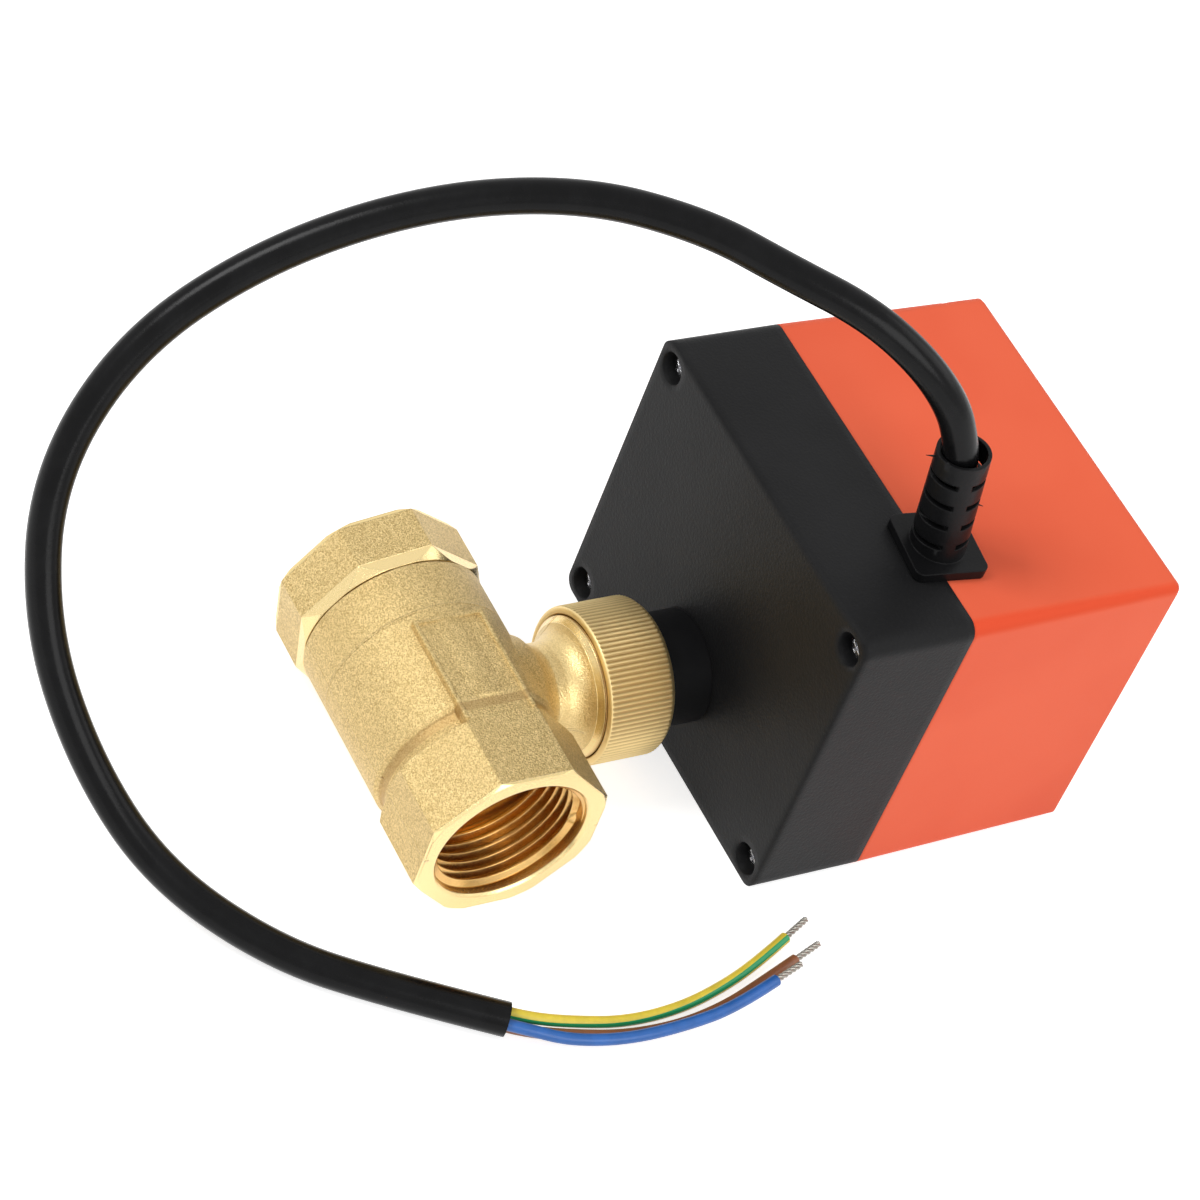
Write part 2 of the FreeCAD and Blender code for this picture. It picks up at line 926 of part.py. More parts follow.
def make_base_housing():
    inner_level = size.housing_face + size.housing_floor
    shell = new_body("base_shell")
    outline = rectangle(
        housing_left, housing_low, housing_right, housing_top, size.housing_corner
    )
    pad_along_stem(shell, size.housing_face, size.base_depth, [outline])
    pad_along_stem(
        shell, inner_level, size.base_depth - size.housing_floor, [inner_rectangle()], cut=True
    )
    pillars = [
        cylinder(size.pillar_radius, size.base_depth, x=x, y=size.housing_face, z=z)
        for x, z in pillar_places()
    ]
    feet = [
        cylinder(size.post_foot_radius, size.lower_plate_level - size.housing_face,
                 x=x, y=size.housing_face, z=z)
        for x, z in post_places()
    ]
    outside = new_body("base_envelope")
    pad_along_stem(outside, size.housing_face, size.base_depth, [outline])
    inside_parts = common("base_pillars", fuse("base_posts", *pillars, *feet), outside)
    holes = []
    for x, z in pillar_places():
        holes.append(cylinder(size.screw_hole_radius, size.base_depth, x=x,
                              y=size.housing_face, z=z))
        holes.append(cylinder(size.screw_sink_radius, size.screw_sink_depth, x=x,
                              y=size.housing_face, z=z))
    for x, z in post_places():
        holes.append(cylinder(size.stud_radius, size.stud_length, x=x,
                              y=size.lower_plate_level - size.stud_length, z=z))
    holes.append(cylinder(size.sleeve_spigot_radius, size.housing_floor, y=size.housing_face))
    holes.append(gland_hole())
    return cut("base_housing", fuse("base_solid", shell, inside_parts), *holes)


def make_cover():
    outline = rectangle(
        housing_left, housing_low, housing_right, housing_top, size.housing_corner
    )
    side_depth = size.cover_depth - size.cover_edge_round
    sides = new_body("cover_sides")
    pad_along_stem(sides, seam, side_depth, [outline], taper=-size.cover_taper)
    inset = side_depth * taper_slope
    edge_outline = rectangle(
        housing_left + inset,
        housing_low + inset,
        housing_right - inset,
        housing_top - inset,
        size.housing_corner - inset,
    )
    edge = new_body("cover_edge")
    pad_along_stem(
        edge, seam + side_depth, size.cover_edge_round, [edge_outline],
        taper=-size.cover_edge_slope,
    )
    outer = fuse("cover_block", sides, edge)
    hollow = new_body("cover_hollow")
    pad_along_stem(
        hollow, seam, size.cover_depth - size.housing_wall, [inner_rectangle()],
        taper=-size.cover_taper,
    )
    pillars = [
        cylinder(size.pillar_radius, size.cover_depth - size.housing_wall / 2, x=x, y=seam, z=z)
        for x, z in pillar_places()
    ]
    pilots = [
        cylinder(size.screw_pilot_radius, size.screw_length - size.base_depth
                 + size.screw_sink_depth + size.housing_wall, x=x, y=seam, z=z)
        for x, z in pillar_places()
    ]
    shell = cut("cover_shell", outer, hollow)
    inside = common("cover_pillars", fuse("cover_posts", *pillars), outer)
    return cut("cover", fuse("cover_solid", shell, inside), gland_hole(), *pilots)


def make_screws(label, places, head_radius, head_height, shank_radius, length, under_head,
                upward=True):
    """Cross-head screws whose heads sit on the level under_head."""
    screws = []
    for x, z in places:
        if upward:
            head_level = under_head - head_height
            shank_level = under_head
        else:
            head_level = under_head
            shank_level = under_head - length
        head = cylinder(head_radius, head_height, x=x, y=head_level, z=z)
        shank = cylinder(shank_radius, length, x=x, y=shank_level, z=z)
        screws.append(fuse(label + "_one", head, shank))
    return group(label, screws)


# gear plates and posts


def plate_outline():
    left = size.housing_shift - size.plate_half_width
    right = size.housing_shift + size.plate_half_width
    low = housing_middle - size.plate_half_height
    high = housing_middle + size.plate_half_height
    trim = size.plate_corner_cut
    return [
        (left + trim, low),
        (right - trim, low),
        (right, low + trim),
        (right, high - trim),
        (right - trim, high),
        (left + trim, high),
        (left, high - trim),
        (left, low + trim),
    ]


def polar(x, z, distance, direction):
    """A place at a distance and direction from another, seen along the stem."""
    angle = math.radians(float(direction))
    return (x + distance * math.cos(angle), z + distance * math.sin(angle))


second_distance = (size.output_teeth + size.second_small_teeth) * size.output_module / 2
first_distance = (size.second_large_teeth + size.first_small_teeth) * size.second_module / 2
pinion_distance = (size.first_large_teeth + size.pinion_teeth) * size.first_module / 2
second_place = polar(measure(0), measure(0), second_distance, size.second_direction)
first_place = polar(*second_place, first_distance, size.first_direction)
pinion_place = polar(*first_place, pinion_distance, size.pinion_direction)
motor_place = (size.housing_shift, housing_middle)
lower_plate_top = size.lower_plate_level + size.lower_plate_thickness
upper_plate_top = size.upper_plate_level + size.upper_plate_thickness


def make_plate(label, level, thickness, holes):
    plate = new_body(label)
    pad_along_stem(plate, level, thickness, [plate_outline()], holes)
    return plate


def make_lower_plate():
    holes = [(x, z, size.stud_radius) for x, z in post_places()]
    holes += [(x, z, size.axle_radius) for x, z in (second_place, first_place)]
    holes.append((0, 0, size.shaft_radius + size.shaft_clearance))
    return make_plate("lower_gear_plate", size.lower_plate_level, size.lower_plate_thickness,
                      holes)


def motor_ear_places():
    return [
        (size.housing_shift + size.motor_ear_reach, housing_middle),
        (size.housing_shift - size.motor_ear_reach, housing_middle),
    ]


def switch_hole_places(side):
    """Screw places of one limit switch; side is 1 for the open end and -1 for the closed end."""
    across = (size.switch_face + size.switch_hole_depth) * side
    low = size.switch_hole_low - size.switch_low_end
    return [(across, low), (across, low + size.switch_hole_spacing)]


def make_upper_plate():
    holes = [(x, z, size.stud_radius) for x, z in post_places()]
    holes += [(x, z, size.axle_radius) for x, z in (second_place, first_place)]
    holes += [(x, z, size.small_screw_radius) for x, z in motor_ear_places()]
    holes += [
        (x, z, size.small_screw_radius) for side in (1, -1) for x, z in switch_hole_places(side)
    ]
    holes.append((0, 0, size.bush_radius))
    holes.append((*pinion_place, size.pinion_passage_radius))
    return make_plate("upper_gear_plate", size.upper_plate_level, size.upper_plate_thickness,
                      holes)


def make_posts(label, level, top):
    """Round posts with a stud below and a tapped hole above."""
    posts = []
    for x, z in post_places():
        body = cylinder(size.post_radius, top - level, x=x, y=level, z=z)
        stud = cylinder(size.stud_radius, size.stud_length, x=x, y=level - size.stud_length, z=z)
        tapped = cylinder(size.stud_radius, size.stud_length, x=x, y=top - size.stud_length, z=z)
        posts.append(cut(label + "_one", fuse(label + "_solid", body, stud), tapped))
    return group(label, posts)


def make_axles():
    length = upper_plate_top - size.lower_plate_level
    return group(
        "gear_axles",
        [
            cylinder(size.axle_radius, length, x=x, y=size.lower_plate_level, z=z)
            for x, z in (second_place, first_place)
        ],
    )


# gears

PRESSURE_ANGLE = math.radians(20)
FLANK_STEPS = 3
ROOT_DEPTH = 1.25
PINION_TIP = 1.0
WHEEL_TIP = 0.8


def gear_wire(teeth, module, tip, play, phase):
    """One closed outline of involute teeth; phase is the direction of a tooth in radians."""
    pitch_radius = teeth * module / 2
    base_radius = pitch_radius * math.cos(PRESSURE_ANGLE)
    tip_radius = pitch_radius + tip * module
    root_radius = pitch_radius - ROOT_DEPTH * module
    flank_start = max(base_radius, root_radius)
    involute = math.tan(PRESSURE_ANGLE) - PRESSURE_ANGLE
    half_tooth = math.pi / 2 / teeth - play / 4 / pitch_radius
    flank = []
    for step in range(FLANK_STEPS + 1):
        radius = flank_start + (tip_radius - flank_start) * step / FLANK_STEPS
        slope = math.acos(min(base_radius / radius, 1))
        flank.append((radius, half_tooth + involute - (math.tan(slope) - slope)))
    root_angle = flank[0][1]
    points = []
    for tooth in range(teeth):
        centre = phase + 2 * math.pi * tooth / teeth
        side = [(root_radius, root_angle)] + flank
        for radius, angle in side:
            points.append((radius, centre - angle))
        for radius, angle in reversed(side):
            points.append((radius, centre + angle))
    corners = [Vector(r * math.cos(a), 0, r * math.sin(a)) for r, a in points]
    return Part.makePolygon(corners + corners[:1])


def gear_solid(teeth, module, tip, level, thickness, phase):
    wire = gear_wire(int(teeth.number), float(module), tip, float(size.tooth_play), phase)
    wire.translate(Vector(0, float(level), 0))
    return Part.Face(wire).extrude(Vector(0, float(thickness), 0))


def stem_cylinder(radius, level, top):
    height = float(top) - float(level)
    return Part.makeCylinder(float(radius), height, Vector(0, float(level), 0), Vector(0, 1, 0))


def solid_node(label, shape, place_xz):
    """A node whose shape is made about its own axle and then set at its place."""
    node = document.addObject("Part::Feature", label)
    node.Label = label
    node.Shape = shape.removeSplitter()
    node.Placement = FreeCAD.Placement(
        Vector(float(place_xz[0]), 0, float(place_xz[1])), FreeCAD.Rotation()
    )
    return node


def gap_phase(direction, teeth):
    """Turns a gear so that a gap meets the tooth of the gear it came from."""
    return math.radians(float(direction)) + math.pi + math.pi / int(teeth.number)


def make_output_gear():
    gear = gear_solid(
        size.output_teeth, size.output_module, WHEEL_TIP, size.output_gear_level,
        size.output_gear_thickness, math.radians(float(size.second_direction)),
    )
    top = size.output_gear_level + size.output_gear_thickness
    bore = stem_cylinder(size.shaft_radius, size.output_gear_level, top)
    return solid_node("output_gear", gear.cut(bore), (0, 0))


def compound_gear(label, small, large, hub_bottom, place_xz):
    """A small and a large gear moulded together on one hub."""
    low = lower_plate_top + size.gear_end_play
    high = size.upper_plate_level - size.gear_end_play
    hub = stem_cylinder(size.gear_hub_radius, low, high)
    whole = small.fuse(large).fuse(hub)
    bore = stem_cylinder(size.axle_radius + size.axle_clearance, hub_bottom, high)
    return solid_node(label, whole.cut(bore), place_xz)


def make_second_gear():
    low = lower_plate_top + size.gear_end_play
    small = gear_solid(
        size.second_small_teeth, size.output_module, PINION_TIP, low,
        size.second_large_level - low, gap_phase(size.second_direction, size.second_small_teeth),
    )
    large = gear_solid(
        size.second_large_teeth, size.second_module, WHEEL_TIP, size.second_large_level,
        size.second_large_thickness, math.radians(float(size.first_direction)),
    )
    return compound_gear("second_compound_gear", small, large, low, second_place)


def make_first_gear():
    low = lower_plate_top + size.gear_end_play
    small_level = size.second_large_level - size.gear_end_play
    small = gear_solid(
        size.first_small_teeth, size.second_module, PINION_TIP, small_level,
        size.first_large_level - small_level,
        gap_phase(size.first_direction, size.first_small_teeth),
    )
    large = gear_solid(
        size.first_large_teeth, size.first_module, WHEEL_TIP, size.first_large_level,
        size.first_large_thickness, math.radians(float(size.pinion_direction)),
    )
    return compound_gear("first_compound_gear", small, large, low, first_place)


def make_motor_pinion():
    level = size.first_large_level - size.gear_end_play
    top = size.first_large_level + size.first_large_thickness + size.gear_end_play
    gear = gear_solid(
        size.pinion_teeth, size.first_module, PINION_TIP, level, top - level,
        gap_phase(size.pinion_direction, size.pinion_teeth),
    )
    shaft_end = upper_plate_top + size.motor_shaft_depth - size.gear_end_play
    shaft = stem_cylinder(size.motor_shaft_radius, level, shaft_end)
    return solid_node("motor_pinion", gear.fuse(shaft), pinion_place)


# output shaft and what sits on it


def make_output_shaft():
    gear_top = size.output_gear_level + size.output_gear_thickness
    clip_level = gear_top + size.cam_thickness
    shaft_top = upper_plate_top - size.shaft_end_play
    collar_bottom = lower_plate_top + size.shaft_end_play / 2
    blank = turned_body(
        "output_shaft_blank",
        [
            (0, size.shaft_bottom),
            (size.shaft_radius - size.face_bevel / 2, size.shaft_bottom),
            (size.shaft_radius, size.shaft_bottom + size.face_bevel / 2),
            (size.shaft_radius, collar_bottom),
            (size.shaft_collar_radius, collar_bottom),
            (size.shaft_collar_radius, size.output_gear_level),
            (size.shaft_radius, size.output_gear_level),
            (size.shaft_radius, gear_top),
            (size.shaft_end_radius, gear_top),
            (size.shaft_end_radius, clip_level),
            (size.clip_groove_radius, clip_level),
            (size.clip_groove_radius, clip_level + size.clip_thickness),
            (size.shaft_end_radius, clip_level + size.clip_thickness),
            (size.shaft_end_radius, shaft_top),
            (0, shaft_top),
        ],
    )
    slot_width = size.drive_tongue_width + size.shaft_slot_clearance * 2
    slot = block(
        size.shaft_radius * 2,
        size.drive_tongue_top - size.shaft_bottom + size.shaft_slot_clearance * 2,
        slot_width,
        -size.shaft_radius,
        size.shaft_bottom,
        -slot_width / 2,
    )
    return cut("output_shaft", blank, slot)


def make_cam():
    """A disc with one lobe for each limit switch, a quarter turn apart."""
    level = size.output_gear_level + size.output_gear_thickness
    half = math.radians(float(size.cam_lobe_angle) / 2)
    lobe_radius = float(size.cam_lobe_radius)
    disc = stem_cylinder(size.cam_radius, level, level + size.cam_thickness)
    for direction in (math.pi, math.pi / 2):
        rim = [
            Vector(lobe_radius * math.cos(direction + turned), float(level),
                   lobe_radius * math.sin(direction + turned))
            for turned in (-half, 0, half)
        ]
        centre = Vector(0, float(level), 0)
        wire = Part.Wire([
            Part.LineSegment(centre, rim[0]).toShape(),
            Part.Arc(*rim).toShape(),
            Part.LineSegment(rim[2], centre).toShape(),
        ])
        lobe = Part.Face(wire).extrude(Vector(0, float(size.cam_thickness), 0))
        disc = disc.fuse(lobe)
    bore = stem_cylinder(size.shaft_end_radius, level, level + size.cam_thickness)
    return solid_node("cam_disc", disc.cut(bore), (0, 0))


def make_clip():
    level = size.output_gear_level + size.output_gear_thickness + size.cam_thickness
    ring = make_washer("clip_ring", size.clip_radius, size.clip_groove_radius,
                       size.clip_thickness, level)
    gap = block(size.clip_radius * 2, size.clip_thickness, size.clip_gap,
                0, level, -size.clip_gap / 2)
    return cut("shaft_circlip", ring, gap)


def make_bush():
    bore = size.shaft_end_radius + size.axle_clearance
    flange_bottom = size.upper_plate_level - size.bush_flange_thickness
    return turned_body(
        "shaft_bush",
        [
            (bore, flange_bottom),
            (size.bush_flange_radius, flange_bottom),
            (size.bush_flange_radius, size.upper_plate_level),
            (size.bush_radius, size.upper_plate_level),
            (size.bush_radius, upper_plate_top),
            (bore, upper_plate_top),
        ],
    )


# motor and limit switches


def make_motor():
    x, z = motor_place
    can = cylinder(size.motor_radius, size.motor_thickness, x=x, y=upper_plate_top, z=z)
    ear = size.motor_ear_radius
    ears = fuse(
        "motor_ears",
        block(
            size.motor_ear_reach * 2, size.motor_ear_thickness, ear * 2,
            size.housing_shift - size.motor_ear_reach, upper_plate_top, housing_middle - ear,
        ),
        *[
            cylinder(ear, size.motor_ear_thickness, x=ear_x, y=upper_plate_top, z=ear_z)
            for ear_x, ear_z in motor_ear_places()
        ],
    )
    document.recompute()
    rim = [
        index + 1
        for index, edge in enumerate(can.Shape.Edges)
        if edge.BoundBox.YMin > float(upper_plate_top)
    ]
    rounded = document.addObject("Part::Fillet", "motor_can")
    rounded.Base = can
    rounded.Edges = [(index, float(size.motor_edge), float(size.motor_edge)) for index in rim]
    shaft_hole = cylinder(
        size.motor_shaft_radius + size.axle_clearance, size.motor_shaft_depth,
        x=pinion_place[0], y=upper_plate_top, z=pinion_place[1],
    )
    screw_holes = [
        cylinder(size.small_screw_radius, size.motor_ear_thickness, x=x, y=upper_plate_top, z=z)
        for x, z in motor_ear_places()
    ]
    return cut("motor", fuse("motor_solid", rounded, ears), shaft_hole, *screw_holes)


def make_switch(label, side):
    """A limit switch hung under the upper plate, with its plunger hole towards the cam."""
    level = size.upper_plate_level - size.switch_thickness
    depth = size.switch_depth
    near = size.switch_face if side > 0 else -(size.switch_face + depth)
    case = block(depth, size.switch_thickness, size.switch_length, near, level,
                 -size.switch_low_end)
    middle = level + size.switch_thickness / 2
    tabs = []
    for share in (0.15, 0.5, 0.85):
        tab_x = near + depth if side > 0 else near - size.terminal_length
        tabs.append(block(
            size.terminal_length, size.terminal_width, size.terminal_thickness, tab_x,
            middle - size.terminal_width / 2,
            size.switch_length * share - size.switch_low_end,
        ))
    hole_depth = size.plunger_length - size.plunger_reach + size.plunger_travel
    hole_x = size.switch_face if side > 0 else -(size.switch_face + hole_depth)
    plunger_hole = cylinder(
        size.plunger_radius + size.plunger_clearance, hole_depth, x=hole_x, y=middle,
        rotation=ALONG_PIPE,
    )
    screw_holes = [
        cylinder(size.small_screw_radius, size.switch_thickness, x=x, y=level, z=z)
        for x, z in switch_hole_places(side)
    ]
    return cut(label, fuse(label + "_solid", case, *tabs), plunger_hole, *screw_holes)


def make_plunger(label, side):
    level = size.upper_plate_level - size.switch_thickness / 2
    start = size.switch_face - size.plunger_reach
    start = start if side > 0 else -(start + size.plunger_length)
    body = cylinder(size.plunger_radius, size.plunger_length, x=start, y=level,
                    rotation=ALONG_PIPE)
    body.Label = label
    return body


# circuit board


def make_board():
    board = new_body("circuit_board")
    outline = rectangle(
        size.housing_shift - size.board_half_width,
        housing_middle - size.board_half_height,
        size.housing_shift + size.board_half_width,
        housing_middle + size.board_half_height,
        size.post_foot_radius / 2,
    )
    holes = [(x, z, size.stud_radius) for x, z in post_places()]
    pad_along_stem(board, size.board_level, size.board_thickness, [outline], holes)
    return board


def make_board_part(label, width, rise, height, x, z):
    """A component that stands on the board."""
    part = block(width, rise, height, x, size.board_level + size.board_thickness, z)
    part.Label = label
    return part


# gland and cable


def gland_place():
    return (size.gland_x, seam + size.gland_seam_offset)


def gland_axis():
    """Direction of the leaning barrel, from the plate to its mouth."""
    lean = math.radians(float(size.gland_lean))
    turned = math.radians(float(size.gland_lean_direction))
    return Vector(math.sin(lean) * math.sin(turned), -math.sin(lean) * math.cos(turned),
                  math.cos(lean))


def gland_mouth():
    """Where the cable leaves the barrel."""
    x, y = gland_place()
    foot = Vector(float(x), float(y), float(housing_top))
    return foot + gland_axis() * float(size.gland_barrel_length)


def make_gland():
    x, y = gland_place()
    upright = FreeCAD.Rotation()
    turned = FreeCAD.Rotation(Vector(0, 0, 1), float(size.gland_turn))
    leaning = FreeCAD.Rotation(Vector(0, 0, 1), gland_axis())
    half = size.gland_plate_width / 2
    plate_body = new_body("gland_plate")
    sketch = new_sketch(plate_body, "XY_Plane")
    draw(sketch, rectangle(-half, -half, half, half, size.gland_plate_corner))
    pad = plate_body.newObject("PartDesign::Pad", "gland_plate_pad")
    pad.Profile = sketch
    bind(pad, "Length", size.gland_plate_thickness)
    place(plate_body, x, y, housing_top, turned)
    neck_length = size.housing_wall + size.gland_inner_thickness + size.gland_clearance
    neck = cylinder(size.gland_neck_radius, neck_length, x, y, housing_top - neck_length, upright)
    collar = cylinder(
        size.gland_inner_radius, size.gland_inner_thickness, x, y, housing_top - neck_length,
        upright,
    )
    barrel = document.addObject("Part::Cone", "gland_barrel")
    bind(barrel, "Radius1", size.gland_foot_radius)
    bind(barrel, "Radius2", size.gland_mouth_radius)
    bind(barrel, "Height", size.gland_barrel_length)
    place(barrel, x, y, housing_top, leaning)
    bore = document.addObject("Part::Cylinder", "gland_bore")
    bind(bore, "Radius", size.gland_bore_radius)
    bind(bore, "Height", size.gland_bore_depth * 2)
    place(bore, *(gland_mouth() - gland_axis() * float(size.gland_bore_depth)), leaning)
    slots = []
    for row in range(4):
        for side in (1, -1):
            low = size.gland_plate_thickness + size.gland_slot_pitch * (row + 0.6)
            slot = document.addObject("Part::Box", "gland_slot")
            reach = float(size.gland_foot_radius)
            bind(slot, "Length", size.gland_foot_radius * 2)
            bind(slot, "Width", size.gland_foot_radius)
            bind(slot, "Height", size.gland_slot_width)
            inner = float(size.gland_slot_core)
            corner = Vector(-reach, inner if side > 0 else -inner - reach, float(low))
            shift = FreeCAD.Placement(Vector(float(x), float(y), float(housing_top)), leaning)
            slot.Placement = shift.multiply(FreeCAD.Placement(corner, FreeCAD.Rotation()))
            slots.append(slot)
    foot = fuse("gland_solid", plate_body, neck, collar, barrel)
    return cut("cable_gland", foot, bore, *slots)


table = -float(size.housing_bottom)
cable_lie = table + float(size.cable_diameter) / 2
core_lie = table + float(size.core_diameter) / 2
jacket_end = Vector(50.57, -8.0, cable_lie)
gland_side = gland_axis().cross(Vector(0, 0, 1)).normalize()
cable_start = (gland_mouth() - gland_axis() * float(size.gland_bore_depth)
               - gland_side * float(size.cable_shift))

cable_route = [
    cable_start,
    cable_start + gland_axis() * float(size.cable_straight),
    Vector(17.3, 64.6, 68.3),
    Vector(15.4, 61.4, 75.2),
    Vector(11.2, 55.3, 82.0),
    Vector(4.2, 47.3, 86.9),
    Vector(-4.6, 37.3, 88.6),
    Vector(-15.5, 27.5, 89.6),
    Vector(-26.5, 11.5, 88.6),
    Vector(-34.5, -9.5, 82.6),
    Vector(-38.8, -32.0, 71.0),
    Vector(-38.4, -51.5, 55.5),
    Vector(-31.0, -64.0, 36.5),
    Vector(-18.5, -66.0, 16.8),
    Vector(-3.5, -61.5, 1.0),
    Vector(12.5, -53.5, -9.8),
    Vector(29.0, -39.5, cable_lie),
    Vector(40.6, -24.0, cable_lie),
    jacket_end,
]

jacket_direction = (cable_route[-1] - cable_route[-2]).normalize()
to_left = Vector(-jacket_direction.y, jacket_direction.x, 0)


def core_start(leftward, rise):
    """The straight first run of one core: out of the jacket end, square to its face."""
    start = jacket_end + to_left * leftward + Vector(0, 0, rise)
    return [start, start + jacket_direction * float(size.core_straight)]


core_routes = {
    "yellow_green_core": core_start(float(size.core_offset), -0.15) + [
        Vector(53.0, 2.6, core_lie + 0.75),
        Vector(55.0, 12.0, core_lie),
        Vector(54.9, 22.5, core_lie),
        Vector(52.6, 32.5, core_lie),
        Vector(49.6, 40.6, core_lie),
        Vector(46.7, 46.9, core_lie),
    ],
    "blue_core": core_start(-1.2, 0.3) + [
        Vector(56.6, 0.9, core_lie + 1.2),
        Vector(59.0, 10.0, core_lie + 1.55),
        Vector(59.4, 20.5, core_lie + 2.15),
        Vector(58.3, 30.5, core_lie + 2.15),
        Vector(55.4, 39.6, core_lie + 2.25),
    ],
    "brown_core": core_start(-0.1, -1.6) + [
        Vector(54.9, 1.6, core_lie),
        Vector(57.4, 10.5, core_lie),
        Vector(58.0, 20.5, core_lie),
        Vector(56.6, 30.0, core_lie),
        Vector(53.9, 38.5, core_lie),
        Vector(51.2, 46.4, core_lie),
    ],
}


def route_wire(points):
    """Straight runs joined by tangent arcs; also gives the smallest arc radius."""
    edges = []
    smallest = None
    last = points[0]
    for before, corner, after in zip(points, points[1:], points[2:]):
        arriving = (corner - before).normalize()
        leaving = (after - corner).normalize()
        turned = arriving.getAngle(leaving)
        shorter = min((corner - before).Length, (after - corner).Length)
        radius = 0.45 * shorter / math.tan(turned / 2)
        reach = radius * math.tan(turned / 2)
        start = corner - arriving * reach
        end = corner + leaving * reach
        inward = (leaving - arriving).normalize()
        middle = corner + inward * (radius / math.cos(turned / 2) - radius)
        edges.append(Part.LineSegment(last, start).toShape())
        edges.append(Part.Arc(start, middle, end).toShape())
        last = end
        smallest = radius if smallest is None else min(smallest, radius)
    edges.append(Part.LineSegment(last, points[-1]).toShape())
    return Part.Wire(edges), smallest


def make_tube(label, points, diameter):
    wire, smallest = route_wire(points)
    radius = float(diameter) / 2
    direction = points[1] - points[0]
    ring = Part.Wire([Part.makeCircle(radius, points[0], direction)])
    shell = wire.makePipeShell([ring], True, False)
    expected = math.pi * radius**2 * wire.Length
    print("%s: length %.1f, smallest bend %.1f, volume ratio %.4f"
          % (label, wire.Length, smallest, shell.Volume / expected))
    node = document.addObject("Part::Feature", label)
    node.Label = label
    node.Shape = shell
    node.Placement = FreeCAD.Placement()
    return node


def make_strands():
    strands = []
    for points in core_routes.values():
        direction = (points[-1] - points[-2]).normalize()
        strand = document.addObject("Part::Cylinder", "strand")
        bind(strand, "Radius", size.strand_diameter / 2)
        bind(strand, "Height", size.strand_length)
        turned = FreeCAD.Rotation(Vector(0, 0, 1), direction)
        strand.Placement = FreeCAD.Placement(points[-1], turned)
        strands.append(strand)
    return group("bare_strands", strands)


nodes = [
    make_valve_body(),
    make_end_connector(),
    make_seat("near_seat_ring", 1),
    make_seat("far_seat_ring", -1),
    make_ball(),
    make_stem(),
    make_stem_rings(),
    make_washer(
        "stem_thrust_washer", size.stem_flange_radius, size.stem_radius + size.stem_clearance / 2,
        size.washer_thickness, size.stem_chamber_top - size.washer_thickness,
    ),
    make_union_nut(),
    make_coupling_sleeve(),
    make_lock_nut(),
    make_base_housing(),
    make_cover(),
    make_screws(
        "housing_screws", pillar_places(), size.screw_head_radius, size.screw_head_height,
        size.screw_radius, size.screw_length, size.housing_face + size.screw_sink_depth,
    ),
    make_lower_plate(),
    make_upper_plate(),
    make_posts("plate_pillars", lower_plate_top, size.upper_plate_level),
    make_posts("board_standoffs", upper_plate_top, size.board_level),
    make_screws(
        "board_screws", post_places(), size.small_head_radius, size.small_head_height,
        size.stud_radius, size.board_thickness + size.stud_length * 0.8,
        size.board_level + size.board_thickness, upward=False,
    ),
    make_axles(),
    make_output_gear(),
    make_second_gear(),
    make_first_gear(),
    make_motor_pinion(),
    make_output_shaft(),
    make_cam(),
    make_clip(),
    make_bush(),
    make_motor(),
    make_screws(
        "motor_screws", motor_ear_places(), size.small_head_radius, size.small_head_height,
        size.small_screw_radius, size.motor_ear_thickness + size.upper_plate_thickness,
        upper_plate_top + size.motor_ear_thickness, upward=False,
    ),
    make_switch("open_limit_switch", 1),
    make_switch("closed_limit_switch", -1),
    make_plunger("open_switch_plunger", 1),
    make_plunger("closed_switch_plunger", -1),
    make_screws(
        "switch_screws", switch_hole_places(1) + switch_hole_places(-1),
        size.small_head_radius * 0.8, size.small_head_height, size.small_screw_radius,
        size.switch_thickness + size.upper_plate_thickness,
        size.upper_plate_level - size.switch_thickness,
    ),
    make_board(),
    make_board_part(
        "relay", size.relay_width, size.relay_rise, size.relay_height,
        housing_left + size.relay_width / 2, housing_middle,
    ),
    make_board_part(
        "capacitor", size.capacitor_width, size.capacitor_rise, size.capacitor_height,
        size.housing_shift - size.capacitor_width / 2,
        housing_middle - size.board_half_height / 2 - size.capacitor_height / 2,
    ),
    make_board_part(
        "terminal_block", size.block_width, size.block_rise, size.block_height,
        size.housing_shift + size.block_width / 3,
        housing_middle + size.board_half_height / 2 - size.block_height / 2,
    ),
    make_gland(),
    make_tube("power_cable", cable_route, size.cable_diameter),
]
nodes += [make_tube(label, points, size.core_diameter) for label, points in core_routes.items()]
nodes.append(make_strands())

document.recompute()
for item in document.Objects:
    if "Invalid" in item.State or "Error" in item.State:
        raise RuntimeError("%s failed to recompute: %s" % (item.Label, item.State))
for node in nodes:
    if node.Shape.isNull() or not node.Shape.isValid() or node.Shape.Volume <= 0:
        raise RuntimeError("%s has no valid shape" % node.Label)
for node in nodes:
    node.Shape.exportStep("parts/%s.step" % node.Label)
print("%d nodes written" % len(nodes))
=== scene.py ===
import bpy
import math
from mathutils import Matrix, Vector


